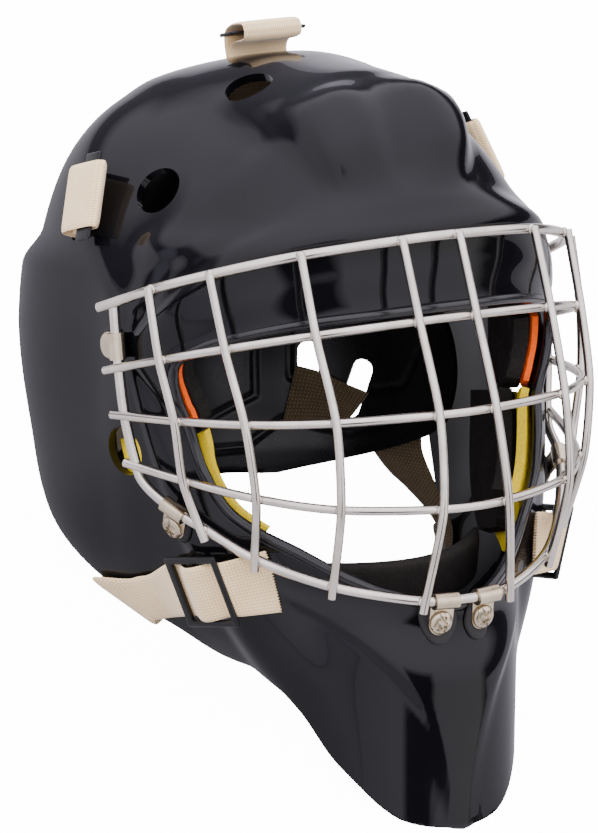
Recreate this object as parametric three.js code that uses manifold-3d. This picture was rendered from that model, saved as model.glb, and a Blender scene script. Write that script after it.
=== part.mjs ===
// Hockey goalie mask: a hollow moulded shell with a welded wire cage, its clamps, elastic harness,
// back plate and inner padding. Millimetres, +Z up, the face looks along -Y.
//
// Every piece is drawn in the "worn" frame, whose origin is the middle of the cage's third cross
// bar. The outer group then tips the mask back until it stands on its chin edge and on the lower
// edge of its back plate, as it does when it is put down on a table.
import * as THREE from 'three';
import { mergeVertices } from 'three/addons/utils/BufferGeometryUtils.js';
import Module from 'manifold-3d';

const wasm = await Module();
wasm.setup();

// ---------------------------------------------------------------- driving dimensions
const WALL = 4; // shell thickness
const GAP = 0.4; // clearance between neighbouring pieces
const REST_PITCH = 30; // degrees that the mask leans back when it stands by itself
const REST_CUT = -166.5; // height, in the tipped frame, of the flat foot under chin and back plate

const HEAD = { y: 110, z: 20, halfWidth: 109.8 }; // middle of the head room and half the shell's width
const CREST_BLEND = 0.04; // how softly the two sides meet on the centre line
const FRAME_ROD = 2.4; // radius of the cage's frame rod and brow bar
const CROSS_ROD = 2.05; // radius of the thinner cross bars and the upright bars
const ROD_SIDES = 5;
const VENT_RADIUS = 11.4;
const ELASTIC = { width: 31, thickness: 1.8 };
const SHELL_GRID = { around: 54, across: 9 };

const vec = (x, y, z) => new THREE.Vector3(x, y, z);
const mirrored = (p) => vec(-p.x, p.y, p.z);
const radians = THREE.MathUtils.degToRad;
const smooth = (x, low, high) => {
  const t = THREE.MathUtils.clamp((x - low) / (high - low), 0, 1);
  return t * t * (3 - 2 * t);
};

// A smooth curve through the rows of a table: value of `column` at `x` of the first column.
function tableCurve(rows, key, column) {
  const slope = (i) => {
    const a = rows[Math.max(i - 1, 0)];
    const b = rows[Math.min(i + 1, rows.length - 1)];
    return (b[column] - a[column]) / (b[key] - a[key]);
  };
  return (x) => {
    let i = 0;
    while (i < rows.length - 2 && x > rows[i + 1][key]) i += 1;
    const span = rows[i + 1][key] - rows[i][key];
    const t = THREE.MathUtils.clamp((x - rows[i][key]) / span, 0, 1);
    const [p, q] = [rows[i][column], rows[i + 1][column]];
    const [m, n] = [slope(i) * span, slope(i + 1) * span];
    return (2 * t ** 3 - 3 * t ** 2 + 1) * p + (t ** 3 - 2 * t ** 2 + t) * m
      + (-2 * t ** 3 + 3 * t ** 2) * q + (t ** 3 - t ** 2) * n;
  };
}

// ---------------------------------------------------------------- form of the shell
// Sections through the ear axis. angle: degrees above straight ahead; reach: distance from the ear
// axis to the shell on the centre line; roundness: exponent of the section between there and the ear
// (2 is an ellipse, less is more roof-like, more is boxier).
const SECTIONS = [
  { angle: -180, reach: 150, roundness: 3.6 },
  { angle: -150, reach: 150, roundness: 3.6 },
  { angle: -125, reach: 165, roundness: 3.4 },
  { angle: -105, reach: 168, roundness: 2.6 },
  { angle: -90, reach: 172, roundness: 2.08 },
  { angle: -78, reach: 188, roundness: 1.77 },
  { angle: -70, reach: 202, roundness: 1.71 },
  { angle: -64, reach: 193, roundness: 1.64 },
  { angle: -57, reach: 164, roundness: 1.53 },
  { angle: -50, reach: 157.5, roundness: 1.4 },
  { angle: -40, reach: 138, roundness: 1.5 },
  { angle: -25, reach: 112, roundness: 1.7 },
  { angle: 0, reach: 86, roundness: 1.9 },
  { angle: 16, reach: 80, roundness: 1.95 },
  { angle: 30, reach: 86, roundness: 2.05 },
  { angle: 44, reach: 97.5, roundness: 2 },
  { angle: 54, reach: 102, roundness: 1.78 },
  { angle: 68, reach: 119.5, roundness: 1.55 },
  { angle: 80, reach: 114.5, roundness: 1.7 },
  { angle: 100, reach: 122.5, roundness: 1.8 },
  { angle: 115, reach: 130, roundness: 2.15 },
  { angle: 130, reach: 138, roundness: 2.9 },
  { angle: 150, reach: 142, roundness: 3.4 },
  { angle: 180, reach: 150, roundness: 3.6 },
];
const reachAt = tableCurve(SECTIONS, 'angle', 'reach');
const roundnessAt = tableCurve(SECTIONS, 'angle', 'roundness');

// Half the width between the two creases beside the crown lobes, by section angle.
const LOBE_EDGE = [
  { angle: 46, half: 26 },
  { angle: 52, half: 37 },
  { angle: 62, half: 45 },
  { angle: 76, half: 51 },
  { angle: 92, half: 57 },
  { angle: 130, half: 64 },
];
const lobeEdgeAt = tableCurve(LOBE_EDGE, 'angle', 'half');

// Half the width of the raised shield on the chin, by height.
const CHIN_SHIELD = [
  { z: -200, half: 6 },
  { z: -166, half: 11 },
  { z: -134, half: 22 },
  { z: -118, half: 32 },
  { z: -104, half: 44 },
  { z: -92, half: 58 },
  { z: -80, half: 76 },
];
const chinShieldAt = tableCurve(CHIN_SHIELD, 'z', 'half');

// The chin hangs from the jaw as an upright column. It grows out of the jaw between two steepnesses,
// given as the downward part of the direction from the middle of the head room.
const CHIN_COLUMN = { y: 58, radius: 55, starts: 0.55, full: 0.8, sharpness: 26 };

// Distance from the middle of the head room to the chin column along the unit direction d.
function chinReach(d) {
  const offset = HEAD.y - CHIN_COLUMN.y;
  const level = Math.max(d.x * d.x + d.y * d.y, 0.01);
  const root = offset ** 2 * d.y ** 2 + level * (CHIN_COLUMN.radius ** 2 - offset ** 2);
  const far = (Math.sqrt(root) - offset * d.y) / level;
  return far * smooth(-d.z, CHIN_COLUMN.starts, CHIN_COLUMN.full);
}

// How far the moulded relief stands out from the plain form at a point near the surface.
function relief(p, angle) {
  const side = Math.abs(p.x);
  const q = side / lobeEdgeAt(THREE.MathUtils.clamp(angle, 46, 130));
  const valley = 1 - smooth(angle, 65, 83);
  const crest = THREE.MathUtils.lerp(1, smooth(q, 0, 0.5), valley);
  const lobeHeight = 9 * smooth(angle, 47, 60) - 7.5 * smooth(angle, 74, 100);
  const lobe = lobeHeight * crest * (1 - smooth(q, 0.74, 1.02)) * (1 - smooth(Math.abs(angle), 128, 150));

  const browLine = 76 - 8 * smooth(side, 40, 100);
  const brow = 2.6 * Math.exp(-(((p.z - browLine) / 7) ** 2)) * (1 - smooth(p.y, 105, 125));

  const chin = 2.6 * (1 - smooth(side, chinShieldAt(THREE.MathUtils.clamp(p.z, -200, -80)) - 7,
    chinShieldAt(THREE.MathUtils.clamp(p.z, -200, -80)) + 2)) * (1 - smooth(p.z, -92, -80));

  const earFlare = 6.5 * (1 - smooth(p.z, 46, 64)) * smooth(p.y, 130, 195) * smooth(p.z, -110, -60);
  return lobe + brow + chin + earFlare;
}

// Point of the outer surface in the direction of `towards`, seen from the middle of the head room.
function onShell(towards) {
  const d = vec(towards.x, towards.y - HEAD.y, towards.z - HEAD.z).normalize();
  const angle = THREE.MathUtils.radToDeg(Math.atan2(d.z, -d.y));
  const n = roundnessAt(angle);
  const sideways = (Math.hypot(d.x, CREST_BLEND) - CREST_BLEND) / (Math.hypot(1, CREST_BLEND) - CREST_BLEND);
  const head = ((sideways / HEAD.halfWidth) ** n + (Math.hypot(d.y, d.z) / reachAt(angle)) ** n) ** (-1 / n);
  const chin = chinReach(d);
  const outer = Math.max(head, chin);
  const k = CHIN_COLUMN.sharpness;
  const r = outer * ((head / outer) ** k + (chin / outer) ** k) ** (1 / k);
  const plain = vec(d.x * r, HEAD.y + d.y * r, HEAD.z + d.z * r);
  return plain.addScaledVector(d, relief(plain, angle));
}

function shellNormal(p) {
  const step = 1.5;
  const d = vec(p.x, p.y - HEAD.y, p.z - HEAD.z).normalize();
  const u = vec(0, 0, 1).cross(d).normalize();
  if (Math.abs(d.z) > 0.9) u.set(1, 0, 0).addScaledVector(d, -d.x).normalize();
  const v = d.clone().cross(u);
  const near = (w, way) => onShell(p.clone().addScaledVector(w, way * step));
  const along = (w) => near(w, 1).sub(near(w, -1));
  return along(u).cross(along(v)).normalize();
}

// Half outline of the face opening (fx, fy, fz) and of the outer rim (rx, ry, rz), crown to chin.
const SPOKES = [
  { at: 0, fx: 0, fy: 34.5, fz: 42.5, rx: 0, ry: 184, rz: 130 },
  { at: 1, fx: 26, fy: 36, fz: 42, rx: 42, ry: 184, rz: 121 },
  { at: 2, fx: 54, fy: 44, fz: 39.8, rx: 73, ry: 186, rz: 104 },
  { at: 3, fx: 78, fy: 57, fz: 35, rx: 93, ry: 190, rz: 82 },
  { at: 4, fx: 95, fy: 72, fz: 28.5, rx: 101, ry: 194, rz: 60 },
  { at: 5, fx: 102.5, fy: 83, fz: 19, rx: 108, ry: 201, rz: 40 },
  { at: 6, fx: 101, fy: 84, fz: 3, rx: 111, ry: 202, rz: 10 },
  { at: 7, fx: 96.5, fy: 81, fz: -14, rx: 110, ry: 194, rz: -25 },
  { at: 8, fx: 92, fy: 75, fz: -32, rx: 107.5, ry: 187, rz: -57 },
  { at: 9, fx: 85, fy: 66.5, fz: -48, rx: 95, ry: 160, rz: -90 },
  { at: 10, fx: 75, fy: 56, fz: -58.5, rx: 79, ry: 124, rz: -111 },
  { at: 11, fx: 62, fy: 44.5, fz: -66, rx: 67, ry: 102, rz: -122.5 },
  { at: 12, fx: 49, fy: 34, fz: -73.5, rx: 64.2, ry: 65.2, rz: -127 },
  { at: 13, fx: 37, fy: 25, fz: -79, rx: 56.9, ry: 51.1, rz: -138 },
  { at: 14, fx: 25, fy: 17, fz: -82, rx: 51, ry: 37.4, rz: -154.4 },
  { at: 15, fx: 13, fy: 12, fz: -84, rx: 38, ry: 18.5, rz: -176 },
  { at: 16, fx: 0, fy: 10, fz: -85, rx: 0, ry: 2.5, rz: -193 },
];
const LAST_SPOKE = SPOKES.length - 1;
const mirroredSpokes = [
  ...SPOKES.slice(1, 4).reverse().map((s) => ({ ...s, at: -s.at, fx: -s.fx, rx: -s.rx })),
  ...SPOKES,
  ...SPOKES.slice(-4, -1).reverse().map((s) => ({ ...s, at: 2 * LAST_SPOKE - s.at, fx: -s.fx, rx: -s.rx })),
];
const spokeCurve = Object.fromEntries(
  ['fx', 'fy', 'fz', 'rx', 'ry', 'rz'].map((key) => [key, tableCurve(mirroredSpokes, 'at', key)]),
);

// Outer surface at `around` (spoke number; the -X side has negative ones, or those past the chin's)
// and `across` (0 at the face, 1 at the rim).
function shellPoint(around, across) {
  const spoke = around > LAST_SPOKE ? around - 2 * LAST_SPOKE : around;
  const at = Math.abs(spoke);
  const sign = spoke < 0 ? -1 : 1;
  const spot = (x, y, z) => vec(spokeCurve[x](at) * sign, spokeCurve[y](at), spokeCurve[z](at));
  const dir = (x, y, z) => spot(x, y, z).sub(vec(0, HEAD.y, HEAD.z));
  const from = dir('fx', 'fy', 'fz').normalize();
  const to = dir('rx', 'ry', 'rz').normalize();
  const angle = from.angleTo(to);
  const d = from.multiplyScalar(Math.sin((1 - across) * angle)).addScaledVector(to, Math.sin(across * angle));
  return onShell(d.add(vec(0, HEAD.y, HEAD.z)));
}

// ---------------------------------------------------------------- geometry helpers
function geometryFrom(points, triangles) {
  const geometry = new THREE.BufferGeometry();
  const flat = points.flatMap((p) => [p.x, p.y, p.z]);
  geometry.setAttribute('position', new THREE.Float32BufferAttribute(flat, 3));
  geometry.setIndex(triangles.flat());
  return geometry;
}

// A wall over a grid of points, between two offsets along the grid's normals.
function slab(grid, offsetA, offsetB, wrap = false) {
  const [low, high] = [Math.min(offsetA, offsetB), Math.max(offsetA, offsetB)];
  const [rows, columns] = [grid.length, grid[0].length];
  const row = (i) => (wrap ? grid[(i + rows) % rows] : grid[THREE.MathUtils.clamp(i, 0, rows - 1)]);
  const normal = (i, j) => {
    const alongRows = row(i + 1)[j].clone().sub(row(i - 1)[j]);
    const alongColumns = grid[i][Math.min(j + 1, columns - 1)].clone().sub(grid[i][Math.max(j - 1, 0)]);
    return alongRows.cross(alongColumns).normalize();
  };
  const points = [];
  for (const offset of [low, high]) {
    grid.forEach((line, i) => {
      line.forEach((p, j) => points.push(p.clone().addScaledVector(normal(i, j), offset)));
    });
  }
  const index = (layer, i, j) => layer * rows * columns + ((i + rows) % rows) * columns + j;
  const triangles = [];
  const quad = (a, b, c, d) => triangles.push([a, b, c], [a, c, d]);
  const rowSpans = wrap ? rows : rows - 1;
  for (let i = 0; i < rowSpans; i += 1) {
    for (let j = 0; j < columns - 1; j += 1) {
      quad(index(1, i, j), index(1, i + 1, j), index(1, i + 1, j + 1), index(1, i, j + 1));
      quad(index(0, i, j), index(0, i, j + 1), index(0, i + 1, j + 1), index(0, i + 1, j));
    }
    quad(index(0, i, 0), index(0, i + 1, 0), index(1, i + 1, 0), index(1, i, 0));
    const end = columns - 1;
    quad(index(0, i, end), index(1, i, end), index(1, i + 1, end), index(0, i + 1, end));
  }
  if (!wrap) {
    const last = rows - 1;
    for (let j = 0; j < columns - 1; j += 1) {
      quad(index(0, 0, j), index(1, 0, j), index(1, 0, j + 1), index(0, 0, j + 1));
      quad(index(0, last, j), index(0, last, j + 1), index(1, last, j + 1), index(1, last, j));
    }
  }
  return geometryFrom(points, triangles);
}

// A round rod through a list of points, or a closed ring of it.
function rod(path, radius, sides = ROD_SIDES, closed = false) {
  const count = path.length;
  const at = (i) => (closed ? path[(i + count) % count] : path[THREE.MathUtils.clamp(i, 0, count - 1)]);
  let up = at(1).clone().sub(at(0)).cross(vec(0.3, 0.5, 0.8)).normalize();
  const points = [];
  for (let i = 0; i < count; i += 1) {
    const along = at(i + 1).clone().sub(at(i - 1)).normalize();
    up = up.clone().addScaledVector(along, -up.dot(along)).normalize();
    const across = along.clone().cross(up);
    for (let k = 0; k < sides; k += 1) {
      const turn = (2 * Math.PI * (k + 0.5)) / sides;
      points.push(path[i].clone().addScaledVector(up, radius * Math.cos(turn))
        .addScaledVector(across, radius * Math.sin(turn)));
    }
  }
  const triangles = [];
  const index = (i, k) => (i % count) * sides + (k % sides);
  for (let i = 0; i < (closed ? count : count - 1); i += 1) {
    for (let k = 0; k < sides; k += 1) {
      triangles.push([index(i, k), index(i + 1, k + 1), index(i + 1, k)]);
      triangles.push([index(i, k), index(i, k + 1), index(i + 1, k + 1)]);
    }
  }
  if (!closed) {
    for (let k = 1; k < sides - 1; k += 1) {
      triangles.push([index(0, 0), index(0, k + 1), index(0, k)]);
      triangles.push([index(count - 1, 0), index(count - 1, k), index(count - 1, k + 1)]);
    }
  }
  return geometryFrom(points, triangles);
}

function solidOf(geometry) {
  const bare = geometry.clone();
  bare.deleteAttribute('normal');
  bare.deleteAttribute('uv');
  const merged = mergeVertices(bare, 1e-4);
  const solid = new wasm.Manifold(new wasm.Mesh({
    numProp: 3,
    vertProperties: new Float32Array(merged.attributes.position.array),
    triVerts: new Uint32Array(merged.index.array),
  }));
  return solid.volume() < 0 ? solidOf(turnedOut(merged)) : solid;
}

function turnedOut(geometry) {
  const faces = geometry.index.array;
  for (let i = 0; i < faces.length; i += 3) [faces[i], faces[i + 1]] = [faces[i + 1], faces[i]];
  return geometry;
}

function geometryOf(solid) {
  const { vertProperties, triVerts } = solid.getMesh();
  const geometry = new THREE.BufferGeometry();
  geometry.setAttribute('position', new THREE.BufferAttribute(new Float32Array(vertProperties), 3));
  geometry.setIndex(new THREE.BufferAttribute(new Uint32Array(triVerts), 1));
  return geometry;
}

const joined = (geometries) => geometryOf(geometries.map(solidOf).reduce((a, b) => a.add(b)));
const cutBy = (geometry, cutters) => geometryOf(
  cutters.map(solidOf).reduce((a, b) => a.subtract(b), solidOf(geometry)),
);

// A geometry drawn about the origin, moved so that its own x, y, z run along the given directions.
function placed(geometry, origin, x, y, z) {
  return geometry.applyMatrix4(new THREE.Matrix4().makeBasis(x, y, z).setPosition(origin));
}

// A straight round bar or cutter about `middle`, along `axis`.
function pin(middle, axis, radius, length, sides = 16) {
  const geometry = new THREE.CylinderGeometry(radius, radius, length, sides);
  geometry.applyQuaternion(new THREE.Quaternion().setFromUnitVectors(vec(0, 1, 0), axis));
  return geometry.translate(middle.x, middle.y, middle.z);
}

// ---------------------------------------------------------------- materials
const finish = (color, roughness, metalness = 0) => (
  new THREE.MeshStandardMaterial({ color, roughness, metalness })
);
const FINISH = {
  shell: finish('#101012', 0.12),
  trim: finish('#0c0c0d', 0.3),
  steel: finish('#c9c5c0', 0.3, 1),
  clamp: finish('#cfc4b2', 0.3, 1),
  rubber: finish('#161514', 0.85),
  elastic: finish('#ddd0b8', 0.95),
  plastic: finish('#17171a', 0.45),
  plate: finish('#141416', 0.35),
  orangeFoam: finish('#f0661c', 0.8),
  yellowFoam: finish('#d8c02e', 0.8),
  greyFoam: finish('#322e2c', 0.95),
};

const mask = new THREE.Group();
function piece(name, geometry, material) {
  const mesh = new THREE.Mesh(geometry, material);
  mesh.name = name;
  mask.add(mesh);
}
function pair(name, build, material) {
  piece(`${name}_right`, build(-1), material);
  piece(`${name}_left`, build(1), material);
}

// The tipping from the worn frame to the resting one, for cuts that follow the table.
const pitch = new THREE.Matrix4().makeRotationX(-radians(REST_PITCH));
const pitchBack = pitch.clone().invert();
function tableCutter() {
  const depth = 100;
  const block = new THREE.BoxGeometry(400, 600, depth).translate(0, 50, REST_CUT - depth / 2);
  return block.applyMatrix4(pitchBack);
}

// ---------------------------------------------------------------- shell and face trim
const VENTS = [vec(37.8, 122, 135), vec(86.4, 122, 91), vec(109.5, 115.6, -26.7)];
// Each loop of elastic comes out of a slot, folds forward round a stiff bar and goes back in. slot:
// where that is; up: direction across the elastic; reach: how far forward the loop comes; low, high:
// height of its two layers.
const TOP_LOOP = { slot: vec(0, 173, 136), up: vec(1, 0, 0), reach: 17, low: 6, high: 14 };
const UPPER_LOOP = { slot: vec(105.5, 164, 81), up: vec(-0.42, 0.28, 0.87), reach: 25, low: 2.2, high: 6.9 };
const SLOT_WIDTH = 6.6;
const LOOP_BAR = { length: 41, width: 11, thickness: 1.8 };
const both = (p) => [p, mirrored(p)];

const shellGrid = [];
for (let i = 0; i < SHELL_GRID.around; i += 1) {
  const around = (2 * LAST_SPOKE * i) / SHELL_GRID.around;
  const line = [];
  for (let j = 0; j <= SHELL_GRID.across; j += 1) line.push(shellPoint(around, j / SHELL_GRID.across));
  shellGrid.push(line);
}

// The shell with a clearance all round it, for trimming what lies against it.
const shellClearance = slab(shellGrid, GAP, -WALL - GAP, true);

function buildShell(screws) {
  const vents = VENTS.flatMap(both).map((p) => {
    const middle = onShell(p);
    return pin(middle, shellNormal(middle), VENT_RADIUS, 40, 10);
  });
  const loops = [strapFrame(TOP_LOOP, 1), strapFrame(UPPER_LOOP, 1), strapFrame(UPPER_LOOP, -1)];
  const slots = loops.map(strapSlot);
  const holes = screws.map((s) => pin(s.foot, s.axis, 2.7, 30, 6));
  const seats = screws.map((s) => {
    const depth = 20;
    const middle = s.foot.clone().addScaledVector(s.axis, WASHER.lift - GAP + depth / 2);
    return pin(middle, s.axis, WASHER.radius + 2 * GAP, depth, 8);
  });
  return cutBy(slab(shellGrid, 0, -WALL, true), [...vents, ...slots, ...holes, ...seats, tableCutter()]);
}

// Directions at a strap's place near the rim: across the strap, back to the rim, and out.
function strapFrame(loop, sign) {
  const middle = onShell(vec(loop.slot.x * sign, loop.slot.y, loop.slot.z));
  const out = shellNormal(middle);
  const across = vec(loop.up.x * sign, loop.up.y, loop.up.z);
  across.addScaledVector(out, -across.dot(out)).normalize();
  const back = out.clone().cross(across);
  return { middle, out, across, back: back.y < 0 ? back.negate() : back };
}
function strapSlot(f) {
  return placed(new THREE.BoxGeometry(ELASTIC.width + 3, SLOT_WIDTH, 30), f.middle, f.across, f.back, f.out);
}

function buildFaceTrim() {
  const radius = 2.1;
  const path = shellGrid.map(([edge, next]) => {
    const inwards = edge.clone().sub(next).normalize();
    const out = shellNormal(edge);
    inwards.addScaledVector(out, -inwards.dot(out)).normalize();
    return edge.clone().addScaledVector(inwards, radius + 3 * GAP).addScaledVector(out, -WALL / 2);
  });
  return cutBy(rod(path, radius, 4, true), [shellClearance]);
}

// ---------------------------------------------------------------- cage
// Cross bars, top to bottom: centre point (y, z), tilt back from level in degrees, half spacing of the
// four upright pairs (x1..x4) with their set-back (d1..d4), and the bar's own end (xe, de).
const CROSS_BARS = [
  {
    y: 32, z: 74.1, tilt: 21.3, x1: 15, d1: 0, x2: 61.3, d2: 10.3,
    x3: 94, d3: 33.5, x4: 111, d4: 57, xe: 119.2, de: 92,
  },
  {
    y: 18, z: 39.6, tilt: 15.8, x1: 15.1, d1: 0, x2: 61.7, d2: 11.3,
    x3: 93.3, d3: 34.9, x4: 110.6, d4: 61.3, xe: 119, de: 99,
  },
  {
    y: 1.6, z: 0, tilt: 3.7, x1: 15, d1: 0.3, x2: 60.1, d2: 13.2,
    x3: 90.3, d3: 38.3, x4: 106.8, d4: 69, xe: 118.2, de: 107.5,
  },
  {
    y: -5.4, z: -41.3, tilt: -6.7, x1: 17.4, d1: 0.5, x2: 60.1, d2: 16.4,
    x3: 86, d3: 43.3, x4: 102.5, d4: 76, xe: 114.5, de: 109.9,
  },
];
// The frame rod on the +X side, from its upper end down and round to the chin.
const FRAME_ROD_PATH = [
  vec(115.8, 110.6, 42), vec(115.8, 107, 18), vec(114.8, 103.5, -6), vec(112, 99.5, -26),
  vec(110, 95, -36.5), vec(105.6, 80, -45.4), vec(96.4, 65, -54), vec(81.5, 46, -66), vec(57.5, 21.5, -76.5),
  vec(24, 2.4, -83.5), vec(0, -0.6, -84.8),
];

function curveThrough(points, count, tension = 0.5) {
  return new THREE.CatmullRomCurve3(points, false, 'catmullrom', tension).getPoints(count);
}
const frameCurve = new THREE.CatmullRomCurve3(
  [...FRAME_ROD_PATH.map(mirrored), ...FRAME_ROD_PATH.slice(0, -1).reverse()], false, 'catmullrom', 0.5);
function crossBarPoints(bar) {
  const tilt = radians(bar.tilt);
  return [['x1', 'd1'], ['x2', 'd2'], ['x3', 'd3'], ['x4', 'd4'], ['xe', 'de']].map(([x, d]) => (
    vec(bar[x], bar.y + bar[d] * Math.cos(tilt), bar.z - bar[d] * Math.sin(tilt))));
}
function buildCage() {
  const rods = [];
  const crossPoints = CROSS_BARS.map(crossBarPoints);
  crossPoints.forEach((half, i) => {
    const whole = [...half.slice().reverse().map(mirrored), ...half];
    rods.push(rod(curveThrough(whole, 14), i === 0 ? FRAME_ROD : CROSS_ROD));
  });
  rods.push(rod(frameCurve.getPoints(32), FRAME_ROD));
  const bottoms = [vec(22.6, 1.8, -83.8), vec(57.5, 21.5, -76.5), vec(81.5, 46, -66), vec(96.4, 65, -54)];
  const outwards = [vec(0.05, -1, 0), vec(0.35, -0.93, 0), vec(0.7, -0.7, 0), vec(0.9, -0.42, 0)];
  for (let k = 0; k < 4; k += 1) {
    const lift = outwards[k].clone().normalize().multiplyScalar(FRAME_ROD + CROSS_ROD - 1);
    const knots = [...crossPoints.map((half) => half[k]), bottoms[k]].map((p) => p.clone().add(lift));
    const top = knots[0].clone().addScaledVector(knots[0].clone().sub(knots[1]).normalize(), 1.5);
    const foot = knots[4].clone().addScaledVector(knots[4].clone().sub(knots[3]).normalize(), 5);
    const path = [top, ...curveThrough([...knots.slice(0, 4), foot], 7, 0.35)];
    rods.push(rod(path, CROSS_ROD), rod(path.map(mirrored), CROSS_ROD));
  }
  return joined(rods);
}

// ---------------------------------------------------------------- clamps, washers and screws
// Where each clamp's screw enters the shell; the clamp wraps the nearest part of the frame rod.
const CLAMPS = [
  { name: 'upper', screw: vec(111.8, 120, 22.5) },
  { name: 'lower', screw: vec(98.9, 86, -56) },
  { name: 'chin', screw: vec(11.2, 4, -97.2) },
];
const CLAMP = { width: 12, thickness: 1.3, bore: FRAME_ROD + 0.95 };
const WASHER = { radius: 8.4, thickness: 1.2, lift: 0.6 };
const TAB_LIFT = WASHER.lift + WASHER.thickness + 0.25; // underside of a clamp's tab above the shell

// A clamp's own directions: z along the rod it wraps, y out of the shell, x from the rod to the screw.
function clampFrame(clamp, sign) {
  const foot = onShell(vec(clamp.screw.x * sign, clamp.screw.y, clamp.screw.z));
  const steps = Array.from({ length: 600 }, (_, i) => (i + 0.5) / 600);
  const distance = (t) => frameCurve.getPoint(t).distanceTo(foot);
  const place = steps.reduce((best, t) => (distance(t) < distance(best) ? t : best));
  const rodPoint = frameCurve.getPoint(place);
  const z = frameCurve.getTangent(place);
  const axis = shellNormal(foot);
  axis.addScaledVector(z, -axis.dot(z)).normalize();
  const x = axis.clone().cross(z);
  if (x.dot(foot.clone().sub(rodPoint)) < 0) {
    x.negate();
    z.negate();
  }
  return { rodPoint, foot, axis, x, z };
}
function buildClamp(f) {
  const [middle, half] = [TAB_LIFT + CLAMP.thickness / 2, CLAMP.thickness / 2];
  const ring = f.rodPoint.clone().sub(f.foot);
  const [rx, ry] = [ring.dot(f.x), ring.dot(f.axis)];
  const outline = new THREE.Shape();
  const outer = CLAMP.bore + CLAMP.thickness;
  const low = Math.asin(THREE.MathUtils.clamp((middle - half - ry) / outer, -1, 1));
  const high = Math.asin(THREE.MathUtils.clamp((middle + half - ry) / outer, -1, 1));
  outline.moveTo(4, middle - half);
  outline.lineTo(4, middle + half);
  outline.lineTo(rx + outer * Math.cos(high), middle + half);
  outline.absarc(rx, ry, outer, high, low + 2 * Math.PI, false);
  outline.lineTo(4, middle - half);
  const bore = new THREE.Path();
  bore.absarc(rx, ry, CLAMP.bore, 0, 2 * Math.PI, true);
  outline.holes.push(bore);
  const sleeve = new THREE.ExtrudeGeometry(
    outline, { depth: CLAMP.width, bevelEnabled: false, curveSegments: 3 },
  );
  placed(sleeve.translate(0, 0, -CLAMP.width / 2), f.foot, f.x, f.axis, f.z);
  const tabMiddle = f.foot.clone().addScaledVector(f.axis, middle);
  const tab = pin(tabMiddle, f.axis, CLAMP.width / 2, CLAMP.thickness, 8);
  return cutBy(joined([sleeve, tab]), [pin(tabMiddle, f.axis, 2.7, 6, 6)]);
}
function turned(profile, f, lift, sides) {
  const geometry = new THREE.LatheGeometry(profile.map(([r, h]) => new THREE.Vector2(r, h)), sides);
  const solid = geometryOf(solidOf(geometry));
  return placed(solid, f.foot.clone().addScaledVector(f.axis, lift), f.x, f.axis, f.z);
}
function buildWasher(f) {
  const [inner, outer, top] = [2.7, WASHER.radius, WASHER.thickness];
  return turned([[inner, 0], [outer, 0], [outer, top], [inner, top], [inner, 0]], f, WASHER.lift, 8);
}
function buildScrew(f) {
  const seat = TAB_LIFT + CLAMP.thickness + 0.25;
  const tip = -seat - WALL - 0.5;
  const profile = [[0, tip], [2.3, tip], [2.3, 0], [5.5, 0], [5.3, 0.9], [3.6, 2.1], [0, 2.7]];
  return turned(profile, f, seat, 8);
}

// ---------------------------------------------------------------- back plate and straps
const PLATE = { y: 132, thickness: 2.6 };
// Height, radius about the plate's upright axis, and how far round each side it reaches, in degrees.
const PLATE_ROWS = [
  { z: -70, radius: 84, reach: 24 },
  { z: -65, radius: 86.3, reach: 41 },
  { z: -58, radius: 89, reach: 58 },
  { z: -49, radius: 91, reach: 72 },
  { z: -40, radius: 92, reach: 78 },
  { z: -14, radius: 94, reach: 80 },
  { z: 12, radius: 93, reach: 74 },
  { z: 36, radius: 90, reach: 56 },
  { z: 58, radius: 84, reach: 49 },
  { z: 74, radius: 78, reach: 45 },
  { z: 86, radius: 71.5, reach: 37 },
];
function platePoint(z, degrees) {
  const radius = tableCurve(PLATE_ROWS, 'z', 'radius')(z);
  return vec(radius * Math.sin(radians(degrees)), PLATE.y + radius * Math.cos(radians(degrees)), z);
}
function plateSlot(z, degrees, width, height, tilt = 0) {
  const at = platePoint(z, degrees);
  const out = vec(Math.sin(radians(degrees)), Math.cos(radians(degrees)), 0);
  const up = vec(0, 0, 1).applyAxisAngle(out, radians(tilt));
  return placed(new THREE.BoxGeometry(width, height, 20), at, up.clone().cross(out), up, out);
}
function buildPlate() {
  const columns = 10;
  const grid = PLATE_ROWS.map((row) => {
    const line = [];
    for (let j = 0; j <= columns; j += 1) line.push(platePoint(row.z, row.reach * ((2 * j) / columns - 1)));
    return line;
  });
  const slots = [-1, 1].flatMap((s) => [
    plateSlot(-24, s * 33.5, 10, 30), plateSlot(-31, s * 47.5, 10, 29, s * -18),
  ]);
  return cutBy(slab(grid, 0, PLATE.thickness), [...slots, plateSlot(64, 0, 34, 5), tableCutter()]);
}

// A flat strap through stations: a point and the direction across the strap there.
function ribbon(stations, width, thickness) {
  const grid = stations.map(({ at, across }) => [-0.5, 0, 0.5].map((s) => (
    at.clone().addScaledVector(across.clone().normalize(), s * width))));
  return slab(grid, -thickness / 2, thickness / 2);
}
// A loop of elastic out of its slot, round its bar and back in, then on through `ending`.
function slotLoop(loop, sign, ending) {
  const f = strapFrame(loop, sign);
  const { reach, low, high } = loop;
  const profile = [
    [-1.5, -11], [-1.5, -1], [-2.8, low * 0.62], [-7, low], [4 - reach, low], [1 - reach, low + 1],
    [-reach, (low + high) / 2], [1 - reach, high - 1], [4 - reach, high], [-5, high], [0.2, high * 0.8],
    [1.7, high * 0.38], [1.5, -1], [1.5, -11],
  ];
  const stations = profile.map(([a, b]) => ({
    at: f.middle.clone().addScaledVector(f.back, a).addScaledVector(f.out, b), across: f.across,
  }));
  return ribbon([...stations, ...ending], ELASTIC.width, ELASTIC.thickness);
}
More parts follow.
